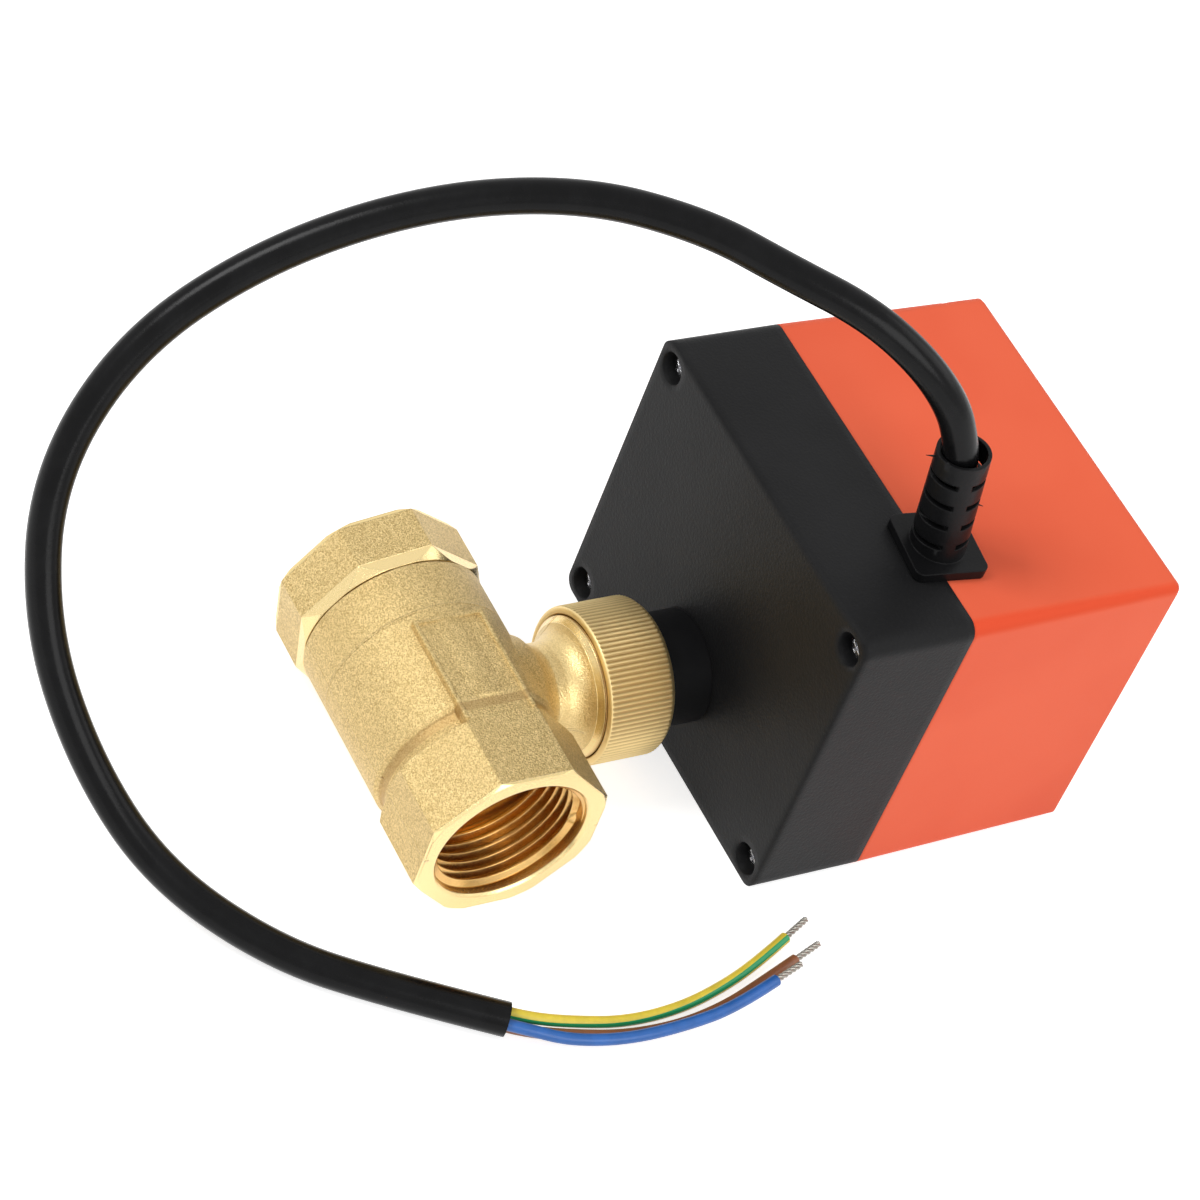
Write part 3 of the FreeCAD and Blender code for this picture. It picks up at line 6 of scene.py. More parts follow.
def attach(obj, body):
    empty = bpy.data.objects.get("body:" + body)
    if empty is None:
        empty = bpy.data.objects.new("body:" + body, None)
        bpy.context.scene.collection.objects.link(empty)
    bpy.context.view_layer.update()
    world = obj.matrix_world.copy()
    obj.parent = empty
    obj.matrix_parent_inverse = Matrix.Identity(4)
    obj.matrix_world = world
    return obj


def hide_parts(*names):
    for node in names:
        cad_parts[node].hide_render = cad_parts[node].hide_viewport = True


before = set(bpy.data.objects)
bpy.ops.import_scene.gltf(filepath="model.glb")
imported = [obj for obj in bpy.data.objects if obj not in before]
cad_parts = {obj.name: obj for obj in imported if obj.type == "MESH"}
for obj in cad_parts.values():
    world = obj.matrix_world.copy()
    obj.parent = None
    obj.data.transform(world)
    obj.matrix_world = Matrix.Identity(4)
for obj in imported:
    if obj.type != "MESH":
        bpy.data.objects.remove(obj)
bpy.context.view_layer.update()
scene = bpy.context.scene
scene.view_settings.view_transform = "Standard"
mm = 0.001
fullTurn = 2 * math.pi


# the camera looks down past the open port, with the actuator behind
cameraSet = {
    "place": (0.351273, -0.309839, 0.494205),
    "right": (0.435210, 0.855856, 0.279469),
    "down": (0.735358, -0.158810, -0.658808),
    "forward": (-0.519462, 0.492230, -0.698476),
    "focalPixels": 4217.26, "imagePixels": 1200, "sensor": 36,
    "nearest": 0.01, "farthest": 20,
}


def aimCamera():
    s = cameraSet
    data = bpy.data.cameras.new("photoCamera")
    data.sensor_width = s["sensor"]
    data.lens = s["focalPixels"] * s["sensor"] / s["imagePixels"]
    data.clip_start = s["nearest"]
    data.clip_end = s["farthest"]
    camera = bpy.data.objects.new("photoCamera", data)
    scene.collection.objects.link(camera)
    right, down, forward = (Vector(s[key]) for key in ("right", "down", "forward"))
    turned = Matrix((right, -down, -forward)).transposed()
    camera.matrix_world = Matrix.Translation(s["place"]) @ turned.to_4x4()
    scene.camera = camera


aimCamera()
print("camera set")


# small tools for materials

class Channel:
    def __init__(self, graph, socket):
        self.graph = graph
        self.socket = socket

    def maths(self, operation, *others):
        return self.graph.node("ShaderNodeMath", {"operation": operation}, [self, *others])

    def __add__(self, other):
        return self.maths("ADD", other)

    __radd__ = __add__

    def __sub__(self, other):
        return self.maths("SUBTRACT", other)

    def __rsub__(self, other):
        return self.graph.node("ShaderNodeMath", {"operation": "SUBTRACT"}, [other, self])

    def __mul__(self, other):
        return self.maths("MULTIPLY", other)

    __rmul__ = __mul__

    def __pow__(self, other):
        return self.maths("POWER", other)

    def step(self, low, high):   # 0 below low, 1 above high, smooth between
        return self.graph.node(
            "ShaderNodeMapRange", {"interpolation_type": "SMOOTHSTEP"},
            {"Value": self, "From Min": low, "From Max": high},
        )

    def past(self, edge):   # a step over an edge, given as two places in mm
        low, high = edge
        return self.step(low * mm, high * mm)

    def between(self, span, soft=0.1):   # 1 inside a span in mm, with soft ends
        low, high = span
        return self.past((low - soft, low + soft)) * (1 - self.past((high - soft, high + soft)))


class Graph:
    def __init__(self, name):
        self.material = bpy.data.materials.new(name)
        self.material.use_nodes = True
        self.tree = self.material.node_tree
        self.tree.nodes.clear()
        self.shader = self.tree.nodes.new("ShaderNodeBsdfPrincipled")
        output = self.tree.nodes.new("ShaderNodeOutputMaterial")
        self.tree.links.new(self.shader.outputs[0], output.inputs[0])
        self.place = self.node("ShaderNodeTexCoord", output="Object")
        self.x, self.y, self.z = self.split(self.place)

    def node(self, kind, settings=None, inputs=None, output=0):
        made = self.tree.nodes.new(kind)
        for key, setting in (settings or {}).items():
            setattr(made, key, setting)
        pairs = inputs.items() if isinstance(inputs, dict) else enumerate(inputs or [])
        for key, given in pairs:
            if isinstance(given, Channel):
                self.tree.links.new(given.socket, made.inputs[key])
            else:
                made.inputs[key].default_value = given
        return Channel(self, made.outputs[output])

    def split(self, vector):
        made = self.tree.nodes.new("ShaderNodeSeparateXYZ")
        self.tree.links.new(vector.socket, made.inputs[0])
        return [Channel(self, socket) for socket in made.outputs]

    def noise(self, scale, detail=2, rough=0.5, stretch=None):
        place = self.place
        if stretch:
            place = self.node("ShaderNodeMapping", None, {"Vector": place, "Scale": stretch})
        return self.node(
            "ShaderNodeTexNoise", None,
            {"Vector": place, "Scale": scale, "Detail": detail, "Roughness": rough},
        )

    def cells(self, scale, settings=None, output="Distance"):
        return self.node(
            "ShaderNodeTexVoronoi", settings, {"Vector": self.place, "Scale": scale}, output
        )

    def mix(self, factor, first, second):
        first, second = (
            (*colour, 1) if isinstance(colour, tuple) else colour for colour in (first, second)
        )
        return self.node(
            "ShaderNodeMix", {"data_type": "RGBA"}, {0: factor, 6: first, 7: second}, 2
        )

    def length(self, first, second):
        return (first * first + second * second) ** 0.5

    def bump(self, height, depth, strength=1.0, under=None):   # depth in mm
        inputs = {"Height": height, "Distance": depth * mm, "Strength": strength}
        if under:
            inputs["Normal"] = under
        return self.node("ShaderNodeBump", None, inputs)

    def roundEdges(self, radius):   # radius in mm
        return self.node("ShaderNodeBevel", {"samples": 6}, {"Radius": radius * mm})

    def done(self, **sockets):
        for key, given in sockets.items():
            socket = self.shader.inputs[key.replace("_", " ")]
            if isinstance(given, Channel):
                self.tree.links.new(given.socket, socket)
            else:
                socket.default_value = given
        return self.material


def highest(first, *others):
    for other in others:
        first = first.maths("MAXIMUM", other)
    return first


def scattered(middle, pattern, spread):   # a pattern of 0 to 1 moves a value round its middle
    return middle + pattern * spread - spread / 2


# brass, cast or machined

brassSet = {
    "bright": (0.88, 0.685, 0.335), "middle": (0.66, 0.475, 0.195), "dark": (0.41, 0.275, 0.095),
    # the colour after machined is a painted shade for the bore wall deep inside the port
    "machined": (0.90, 0.70, 0.34), "boreShade": (0.60, 0.38, 0.13), "shadow": (0.34, 0.18, 0.055),
    "metallic": 0.95, "rough": 0.36, "grainRough": 0.14, "threadPolish": 0.05,
    "grain": 6000, "facets": 0.55, "dust": 1.3,
    "speckShare": 0.55, "dustShare": 0.45, "grainContrast": (0.15, 0.85),
    "cloud": 110, "cloudContrast": (0.3, 0.7), "cloudAmount": 0.2,
    "facetHeight": 0.6, "lineHeight": 3.0, "machinedFlat": 0.93,
    "castDepth": 0.14, "ringDepth": 0.45, "edge": 0.35,
}


def brassFinish(
    name, machinedMask, boreShadeMask=None, rings=None, line=None, shade=None, polish=0.2
):
    s = brassSet
    g = Graph(name)
    speck = g.node("ShaderNodeSeparateColor", None, {0: g.cells(s["grain"], output="Color")})
    facet = g.cells(s["grain"] * s["facets"])
    dust = g.noise(s["grain"] * s["dust"], detail=2, rough=0.6)
    cloud = g.noise(s["cloud"], detail=3, rough=0.6)
    grain = speck * s["speckShare"] + dust * s["dustShare"]
    cast = g.mix(grain.step(*s["grainContrast"]), s["dark"], s["bright"])
    cast = g.mix(cloud.step(*s["cloudContrast"]) * s["cloudAmount"], cast, s["middle"])
    mask = machinedMask(g)
    colour = g.mix(mask, cast, s["machined"])
    height = (grain + facet * s["facetHeight"]) * (1 - mask * s["machinedFlat"])
    rough = s["rough"] + grain * s["grainRough"] - mask * polish
    # painted shade: a darker orange over the bore wall deep inside the port, where shade falls
    if boreShadeMask:
        inside = boreShadeMask(g)
        colour = g.mix(inside, colour, s["boreShade"])
        rough = rough - inside * s["threadPolish"]
    if shade:
        colour = g.mix(shade(g), colour, s["shadow"])
    if line:
        height = height + line(g) * s["lineHeight"]
    normal = g.bump(height, s["castDepth"], under=g.roundEdges(s["edge"]))
    if rings:
        normal = g.bump(rings(g), s["ringDepth"], under=normal)
    return g.done(Base_Color=colour, Metallic=s["metallic"], Roughness=rough, Normal=normal)


# edges and spans of the body's machined, shaded and ringed places, in mm
bodySet = {
    "mouthFace": (26.88, 26.95), "boreWall": (13.6, 13.7), "boreStart": (6, 7),
    "collarFront": (23.1, 23.2), "collarWall": (12.4, 12.5),
    "groove": (9.5, 12.0), "groovePolish": 0.2, "neckFoot": (15.5, 17.5), "neckPolish": 0.5,
    "deepWall": (13.4, 13.5), "deepStart": (8, 12), "deepEnd": (25.8, 26.8),
    "neckThread": (24.1, 33.3), "neckWall": (12.3, 12.4), "neckPitch": 1.5,
    "seam": (0.1, 0.3), "seamOutside": (15, 15.5), "seamTop": (22, 22.5),
    "ringPlace": -9.2, "ringEdge": (0.12, 0.3),
    "gapFront": (23.6, 24.3), "gapWall": (12.4, 12.6), "gapShade": 0.75,
    "shadedGroove": (10.2, 11.9), "shadeFade": (11, 13), "grooveShade": 0.45,
}


def bodyMachined(g):
    s = bodySet
    face = g.x.past(s["mouthFace"])
    bore = (1 - g.length(g.y, g.z).past(s["boreWall"])) * g.x.past(s["boreStart"])
    collar = g.y.past(s["collarFront"]) * (1 - g.length(g.x, g.z).past(s["collarWall"]))
    groove = g.x.between(s["groove"]) * s["groovePolish"]
    neck = g.y.past(s["neckFoot"]) * s["neckPolish"]
    return highest(face, bore, collar, groove, neck)


# where the painted shade falls: the bore wall deep inside the port
def paintedBoreShade(g):
    s = bodySet
    bore = 1 - g.length(g.y, g.z).past(s["deepWall"])
    return bore * g.x.past(s["deepStart"]) * (1 - g.x.past(s["deepEnd"]))


def neckRings(g):
    s = bodySet
    onThread = g.y.between(s["neckThread"]) * (1 - g.length(g.x, g.z).past(s["neckWall"]))
    wave = ((g.y * (fullTurn / (s["neckPitch"] * mm))).maths("SINE") + 1) * 0.5
    return wave * onThread


def forgingLine(g):   # the parting seam along the pipe, and the fine ring round the body
    s = bodySet
    seam = 1 - g.z.maths("ABSOLUTE").past(s["seam"])
    outside = g.y.maths("ABSOLUTE").past(s["seamOutside"]) * (1 - g.y.past(s["seamTop"]))
    ring = 1 - (g.x - s["ringPlace"] * mm).maths("ABSOLUTE").past(s["ringEdge"])
    return highest(seam * outside, ring)


def bodyShade(g):
    s = bodySet
    gap = g.y.past(s["gapFront"]) * (1 - g.length(g.x, g.z).past(s["gapWall"]))
    groove = g.x.between(s["shadedGroove"]) * (1 - g.y.past(s["shadeFade"]))
    return highest(gap * s["gapShade"], groove * s["grooveShade"])


connectorSet = {"bevel": (-21.15, -21.0), "endFace": (-29.15, -29.05), "boreWall": (13.6, 13.7)}


def connectorMachined(g):
    s = connectorSet
    bore = 1 - g.length(g.y, g.z).past(s["boreWall"])
    return highest(g.x.past(s["bevel"]), 1 - g.x.past(s["endFace"]), bore)


# plastics, steels and the board

plasticSet = {
    "vary": 0.12, "lift": 0.004, "cloud": 60, "contrast": (0.25, 0.75), "spread": 0.12,
    "relief": 0.5,
}


def plasticFinish(name, colour, rough, grain=2200, depth=0.04, edge=0.4, shine=0.4):
    s = plasticSet
    g = Graph(name)
    fine = g.noise(grain, detail=2, rough=0.6)
    cloud = g.noise(s["cloud"], detail=3, rough=0.55)
    paler = tuple(min(1, part * (1 + s["vary"]) + s["lift"]) for part in colour)
    darker = tuple(part * (1 - s["vary"]) for part in colour)
    return g.done(
        Base_Color=g.mix(cloud.step(*s["contrast"]), darker, paler),
        Roughness=scattered(rough, fine, s["spread"]),
        Normal=g.bump(fine, depth, s["relief"], g.roundEdges(edge)),
        Specular_IOR_Level=shine,
    )


metalSet = {
    "darker": 0.8, "lines": 1400, "cloud": 120, "contrast": (0.3, 0.7), "spread": 0.16,
    "depth": 0.02, "relief": 0.5, "edge": 0.2,
}


def metalFinish(name, colour, rough, streak=(1, 1, 1)):
    s = metalSet
    g = Graph(name)
    lines = g.noise(s["lines"], detail=3, rough=0.6, stretch=streak)
    cloud = g.noise(s["cloud"])
    darker = tuple(part * s["darker"] for part in colour)
    return g.done(
        Base_Color=g.mix(cloud.step(*s["contrast"]), darker, colour),
        Metallic=1.0,
        Roughness=scattered(rough, lines, s["spread"]),
        Normal=g.bump(lines, s["depth"], s["relief"], g.roundEdges(s["edge"])),
    )


boardSet = {
    "bare": (0.02, 0.11, 0.035), "track": (0.03, 0.2, 0.06), "dust": (0.015, 0.08, 0.03),
    "tracks": 260, "trackEdge": (0.05, 0.09), "trackAmount": 0.6, "dustAmount": 0.3,
    "rough": 0.3, "roughSpread": 0.15, "depth": 0.04, "relief": 0.6,
}


def boardFinish():
    s = boardSet
    g = Graph("boardLaminate")
    lanes = g.cells(s["tracks"], {"distance": "MANHATTAN", "feature": "DISTANCE_TO_EDGE"})
    track = 1 - lanes.step(*s["trackEdge"])
    fine = g.noise(900)
    tint = g.mix(track * s["trackAmount"], s["bare"], s["track"])
    return g.done(
        Base_Color=g.mix(fine * s["dustAmount"], tint, s["dust"]),
        Roughness=s["rough"] + fine * s["roughSpread"],
        Normal=g.bump(track, s["depth"], s["relief"]),
    )


# painted light: the cover is painted a deeper red along the upper edge on the side of the open
# port, standing in for how the light falls on that rounded edge
coverSet = {
    "deep": (0.86, 0.132, 0.060), "pale": (0.90, 0.150, 0.070), "edgeLightRed": (0.82, 0.085, 0.030),
    "edgeAcross": (33.2, 34.6), "edgeUp": (41.6, 43.0), "edgeLightAmount": 0.9,
    "cloud": 35, "contrast": (0.3, 0.7), "grain": 2600, "depth": 0.035, "relief": 0.4,
    "edge": 1.1, "rough": 0.4, "roughSpread": 0.14, "shine": 0.1,
}


def coverFinish():
    s = coverSet
    g = Graph("orangeCover")
    fine = g.noise(s["grain"], detail=3, rough=0.6)
    tint = g.mix(g.noise(s["cloud"]).step(*s["contrast"]), s["deep"], s["pale"])
    # painted light: the band along the upper edge by the open port that gets the deeper red
    edge = g.x.past(s["edgeAcross"]) * g.z.past(s["edgeUp"])
    return g.done(
        Base_Color=g.mix(edge * s["edgeLightAmount"], tint, s["edgeLightRed"]),
        Roughness=s["rough"] + fine * s["roughSpread"],
        Normal=g.bump(fine, s["depth"], s["relief"], g.roundEdges(s["edge"])),
        Specular_IOR_Level=s["shine"],
    )


baseSet = {
    "deep": (0.0085, 0.0085, 0.009), "pale": (0.0135, 0.0135, 0.0142),
    "speck": (0.026, 0.026, 0.027), "speckContrast": (0.55, 0.8), "speckAmount": 0.5,
    "cloud": 40, "contrast": (0.3, 0.75), "grain": 2100, "cells": 1700, "cellHeight": 0.6,
    "depth": 0.06, "relief": 0.6, "edge": 2.2, "rough": 0.38, "roughSpread": 0.14,
    "shine": 0.12,
}


def baseFinish():
    s = baseSet
    g = Graph("blackBase")
    fine = g.noise(s["grain"], detail=4, rough=0.7)
    height = fine + g.cells(s["cells"]) * s["cellHeight"]
    tint = g.mix(g.noise(s["cloud"], detail=3).step(*s["contrast"]), s["deep"], s["pale"])
    return g.done(
        Base_Color=g.mix(fine.step(*s["speckContrast"]) * s["speckAmount"], tint, s["speck"]),
        Roughness=s["rough"] + fine * s["roughSpread"],
        Normal=g.bump(height, s["depth"], s["relief"], g.roundEdges(s["edge"])),
        Specular_IOR_Level=s["shine"],
    )


def cableFinish(name, low, high, rough, stripe=None, shine=0.45):
    g = Graph(name)
    fine = g.noise(1500, detail=3, rough=0.6)
    scuff = g.noise(160, detail=4, rough=0.65)
    tint = g.mix(scuff.step(0.35, 0.75), low, high)
    return g.done(
        Base_Color=stripe(g, tint) if stripe else tint,
        Roughness=scattered(rough, scuff, 0.14),
        Normal=g.bump(fine, 0.04, 0.5),
        Specular_IOR_Level=shine,
    )


# which finish each of the frame's own pieces has

finishes = {
    "valve_body": brassFinish(
        "castBrassBody", bodyMachined, paintedBoreShade, neckRings, forgingLine, bodyShade
    ),
    "end_connector": brassFinish("castBrassConnector", connectorMachined),
    "base_housing": baseFinish(),
    "cover": coverFinish(),
    "circuit_board": boardFinish(),
    "ball": metalFinish("chromedBall", (0.78, 0.78, 0.80), 0.14),
    "stem": metalFinish("turnedStem", (0.80, 0.62, 0.30), 0.3, (1, 8, 1)),
    "relay": plasticFinish("relayBlue", (0.02, 0.06, 0.25), 0.3),
    "capacitor": plasticFinish("capacitorYellow", (0.55, 0.30, 0.04), 0.35),
    "terminal_block": plasticFinish("terminalGreen", (0.02, 0.18, 0.06), 0.4),
    "cable_gland": plasticFinish(
        "glandRubber", (0.0045, 0.0045, 0.005), 0.36, grain=1300, depth=0.06, edge=0.3, shine=0.13
    ),
    "coupling_sleeve": plasticFinish("sleeveBlack", (0.006, 0.006, 0.0065), 0.5, shine=0.12),
}
sharedFinishes = [
    (plasticFinish("ptfeWhite", (0.82, 0.82, 0.79), 0.45),
     ("near_seat_ring", "far_seat_ring", "stem_thrust_washer")),
    (plasticFinish("sealRubber", (0.02, 0.02, 0.02), 0.55), ("stem_seal_rings",)),
    (metalFinish("zincSteel", (0.66, 0.67, 0.69), 0.3),
     ("sleeve_lock_nut", "lower_gear_plate", "upper_gear_plate", "plate_pillars",
      "board_standoffs", "board_screws", "gear_axles", "output_gear", "output_shaft",
      "shaft_circlip", "motor_screws", "switch_screws")),
    (metalFinish("motorSteel", (0.6, 0.6, 0.62), 0.34, (1, 6, 1)), ("motor",)),
    (plasticFinish("gearNylon", (0.78, 0.76, 0.68), 0.4),
     ("second_compound_gear", "first_compound_gear", "cam_disc")),
    (metalFinish("pinionBrass", (0.8, 0.6, 0.28), 0.3), ("motor_pinion", "shaft_bush")),
    (plasticFinish("switchCase", (0.03, 0.03, 0.03), 0.42),
     ("open_limit_switch", "closed_limit_switch")),
    (plasticFinish("plungerRed", (0.5, 0.04, 0.03), 0.4),
     ("open_switch_plunger", "closed_switch_plunger")),
]


def dress(thing, material):
    thing.data.materials.clear()
    thing.data.materials.append(material)


for node, material in finishes.items():
    dress(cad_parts[node], material)
for material, nodes in sharedFinishes:
    for node in nodes:
        dress(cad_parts[node], material)
print("finishes on the frame's own pieces")


# the cable and its three cores

cordSet = {"order": 3, "stepsBetween": 12, "roundness": 6}
cableSet = {
    "diameter": 5.7 * mm, "length": 0.3088,
    "low": (0.003, 0.003, 0.0033), "high": (0.006, 0.006, 0.0065), "rough": 0.24, "shine": 0.14,
    "route": [
        (18.37044, 66.54820, 59.21475), (18.05694, 66.11352, 63.17868), (17.3, 64.6, 68.3),
        (15.4, 61.4, 75.2), (11.2, 55.3, 82.0), (4.2, 47.3, 86.9), (-4.6, 37.3, 88.6),
        (-15.5, 27.5, 89.6), (-26.5, 11.5, 88.6), (-34.5, -9.5, 82.6), (-38.8, -32.0, 71.0),
        (-38.4, -51.5, 55.5), (-31.0, -64.0, 36.5), (-18.5, -66.0, 16.8), (-3.5, -61.5, 1.0),
        (12.5, -53.5, -9.8), (29.0, -39.5, -13.8), (40.6, -24.0, -13.8), (50.57, -8.0, -13.8),
    ],
}
coreSet = {
    "diameter": 2.0 * mm, "rough": 0.34, "darker": 0.8,
    "cores": {
        "yellow_green_core": {
            "piece": "yellowGreenCore", "length": 0.0565, "colour": (0.90, 0.70, 0.07),
            "route": [(49.29695, -7.20673, -13.95), (51.20080, -4.15142, -13.95),
                      (53.0, 2.6, -14.9), (55.0, 12.0, -15.65), (54.9, 22.5, -15.65),
                      (52.6, 32.5, -15.65), (49.6, 40.6, -15.65), (46.7, 46.9, -15.65)],
        },
        "blue_core": {
            "piece": "blueCore", "length": 0.0503, "colour": (0.03, 0.15, 0.50),
            "route": [(51.58844, -8.63462, -13.5), (53.49228, -5.57930, -13.5),
                      (56.6, 0.9, -14.45), (59.0, 10.0, -14.1), (59.4, 20.5, -13.5),
                      (58.3, 30.5, -13.5), (55.4, 39.6, -13.4)],
        },
        "brown_core": {
            "piece": "brownCore", "length": 0.0566, "colour": (0.30, 0.115, 0.05),
            "route": [(50.65487, -8.05288, -15.4), (52.55872, -4.99757, -15.4),
                      (54.9, 1.6, -15.65), (57.4, 10.5, -15.65), (58.0, 20.5, -15.65),
                      (56.6, 30.0, -15.65), (53.9, 38.5, -15.65), (51.2, 46.4, -15.65)],
        },
    },
}

# the green band lies along the core and turns a little round it towards the tip
stripeSet = {
    "colour": (0.012, 0.34, 0.12), "middle": 0.43, "turn": 0.16, "turnSpan": (0.1, 1.0),
    "halfWidth": (0.072, 0.082),
}


def stripedCore(g, tint):
    s = stripeSet
    along, around = g.split(g.node("ShaderNodeTexCoord", output="UV"))[:2]
    middle = s["middle"] - along.step(*s["turnSpan"]) * s["turn"]
    apart = (around - middle).maths("ABSOLUTE")
    return g.mix(1 - apart.step(*s["halfWidth"]), tint, s["colour"])


def cordCurve(name, route, diameter, material):
    data = bpy.data.curves.new(name, "CURVE")
    data.dimensions = "3D"
    spline = data.splines.new("NURBS")
    spline.points.add(len(route) - 1)
    for point, place in zip(spline.points, route):
        point.co = (*(part * mm for part in place), 1)
    spline.order_u = cordSet["order"]
    spline.use_endpoint_u = True
    spline.resolution_u = cordSet["stepsBetween"]
    data.bevel_depth = diameter / 2
    data.bevel_resolution = cordSet["roundness"]
    data.use_fill_caps = True
    thing = bpy.data.objects.new(name, data)
    scene.collection.objects.link(thing)
    data.materials.append(material)
    return thing


def layCord(name, node, cord, diameter, material):
    piece = cordCurve(name, cord["route"], diameter, material)
    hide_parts(node)
    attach(piece, "actuator_body")
    return piece, cord, diameter


def makeCords():
    s = cableSet
    material = cableFinish("blackJacket", s["low"], s["high"], s["rough"], shine=s["shine"])
    cords = [layCord("blackCable", "power_cable", s, s["diameter"], material)]
    s = coreSet
    for node, core in s["cores"].items():
        dark = tuple(part * s["darker"] for part in core["colour"])
        stripe = stripedCore if node == "yellow_green_core" else None
        name, slot = core["piece"], "core_" + node.removesuffix("_core")
        material = cableFinish(name + "Finish", dark, core["colour"], s["rough"], stripe)
        cords.append(layCord(name, node, core, s["diameter"], material))
    return cords


cords = makeCords()
print("cable and cores laid")


# tools for modelling

mergeReach = 0.000002
seedSize = 0.0001


def deselectAll():
    if bpy.context.object and bpy.context.object.mode != "OBJECT":
        bpy.ops.object.mode_set(mode="OBJECT")
    bpy.ops.object.select_all(action="DESELECT")


def applyPlace():
    bpy.ops.object.transform_apply(location=True, rotation=True, scale=True)


def addModifier(piece, kind, **settings):
    modifier = piece.modifiers.new(kind.lower(), kind)
    for key, setting in settings.items():
        setattr(modifier, key, setting)
    bpy.context.view_layer.objects.active = piece
    bpy.ops.object.modifier_apply(modifier=modifier.name)


def drawOutline(name, outline):
    # a seed point, extruded through the points (x, y, z) of the outline
    deselectAll()
    bpy.ops.mesh.primitive_plane_add(size=seedSize, location=outline[0])
    piece = bpy.context.object
    piece.name = name
    applyPlace()
    bpy.ops.object.mode_set(mode="EDIT")
    bpy.ops.mesh.select_mode(type="VERT")
    bpy.ops.mesh.merge(type="CENTER")
    for before, after in zip(outline, outline[1:]):
        step = Vector(after) - Vector(before)
        bpy.ops.mesh.extrude_region_move(TRANSFORM_OT_translate={"value": step})
    bpy.ops.mesh.select_all(action="SELECT")
    return piece


def turnedPiece(name, outline, steps):
    # the outline holds (radius, place) pairs in mm and is turned round the stem axis
    piece = drawOutline(name, [(radius * mm, y * mm, 0) for radius, y in outline])
    bpy.ops.mesh.spin(steps=steps, angle=fullTurn, center=(0, 0, 0), axis=(0, 1, 0))
    bpy.ops.mesh.select_all(action="SELECT")
    bpy.ops.mesh.remove_doubles(threshold=mergeReach)
    bpy.ops.mesh.normals_make_consistent(inside=False)
    bpy.ops.object.mode_set(mode="OBJECT")
    return piece


def selectPoints(piece, chosen):
    bpy.ops.object.mode_set(mode="OBJECT")
    for edge in piece.data.edges:
        edge.select = False
    for face in piece.data.polygons:
        face.select = False
    for point in piece.data.vertices:
        point.select = chosen(point.co)
    bpy.ops.object.mode_set(mode="EDIT")


def smoothByAngle(piece, degrees=30):
    deselectAll()
    piece.select_set(True)
    bpy.context.view_layer.objects.active = piece
    bpy.ops.object.shade_smooth_by_angle(angle=math.radians(degrees))


def cutBox(piece, place, turned, size):
    deselectAll()
    bpy.ops.mesh.primitive_cube_add(size=1, location=place)
    cutter = bpy.context.object
    cutter.rotation_euler = turned
    cutter.scale = size
    applyPlace()
    addModifier(piece, "BOOLEAN", object=cutter, operation="DIFFERENCE", solver="EXACT")
    bpy.data.objects.remove(cutter)


def joinPieces(pieces):
    deselectAll()
    for piece in pieces:
        piece.select_set(True)
    bpy.context.view_layer.objects.active = pieces[0]
    applyPlace()
    bpy.ops.object.join()
    return bpy.context.object


def settle(piece, node, body, material):
    dress(piece, material)
    if node:
        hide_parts(node)
    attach(piece, body)


# union nut with a straight knurl round its rim

nutSet = {
    "ridges": 95, "valley": 0.968, "edge": 0.06, "edgeAngle": 0.3, "smooth": 25,
    "front": 24.2, "rear": 37.1, "outer": 13.45,
    "knurlFront": 24.75, "knurlRear": 35.9, "rows": (29.0, 32.5),
    "bore": 12.0, "lip": 35.7, "lipBore": 9.85, "boreBevel": 0.3, "lipBevel": 0.2,
    "frontBevel": 0.15, "rearBevel": 0.35,
    "frontRim": ((0.75, 0.0), (0.3, 0.2)),   # in from the outer radius, back from the front
    "rearRim": ((0.8, 0.3), (1.4, 0.0)),   # in from the outer radius, forward from the rear
    "alongSlack": 0.01, "ridgeDepth": 0.1,
    "machined": 0.94, "shadeWall": (13.1, 13.38), "shadeSpan": (24.8, 36.2), "shadeSoft": 0.3,
    "shade": 0.6,
}


def nutMachined(g):   # turned all over, so there is no pattern to draw
    return nutSet["machined"]


def knurlShade(g):
    s = nutSet
    valley = 1 - g.length(g.x, g.z).past(s["shadeWall"])
    return valley * g.y.between(s["shadeSpan"], s["shadeSoft"]) * s["shade"]


def nutOutline():
    s = nutSet
    outer, front, rear = s["outer"], s["front"], s["rear"]
    outline = [
        (s["bore"] + s["boreBevel"], front),
        *((outer - inset, front + back) for inset, back in s["frontRim"]),
        (outer - s["frontBevel"], s["knurlFront"] - s["frontBevel"]),
        (outer, s["knurlFront"]), *((outer, row) for row in s["rows"]), (outer, s["knurlRear"]),
        (outer - s["rearBevel"], s["knurlRear"] + s["rearBevel"]),
        *((outer - inset, rear - ahead) for inset, ahead in s["rearRim"]),
        (s["lipBore"] + s["lipBevel"], rear), (s["lipBore"], rear - s["lipBevel"]),
        (s["lipBore"], s["lip"]), (s["bore"], s["lip"]), (s["bore"], front + s["boreBevel"]),
    ]
    return outline + outline[:1]


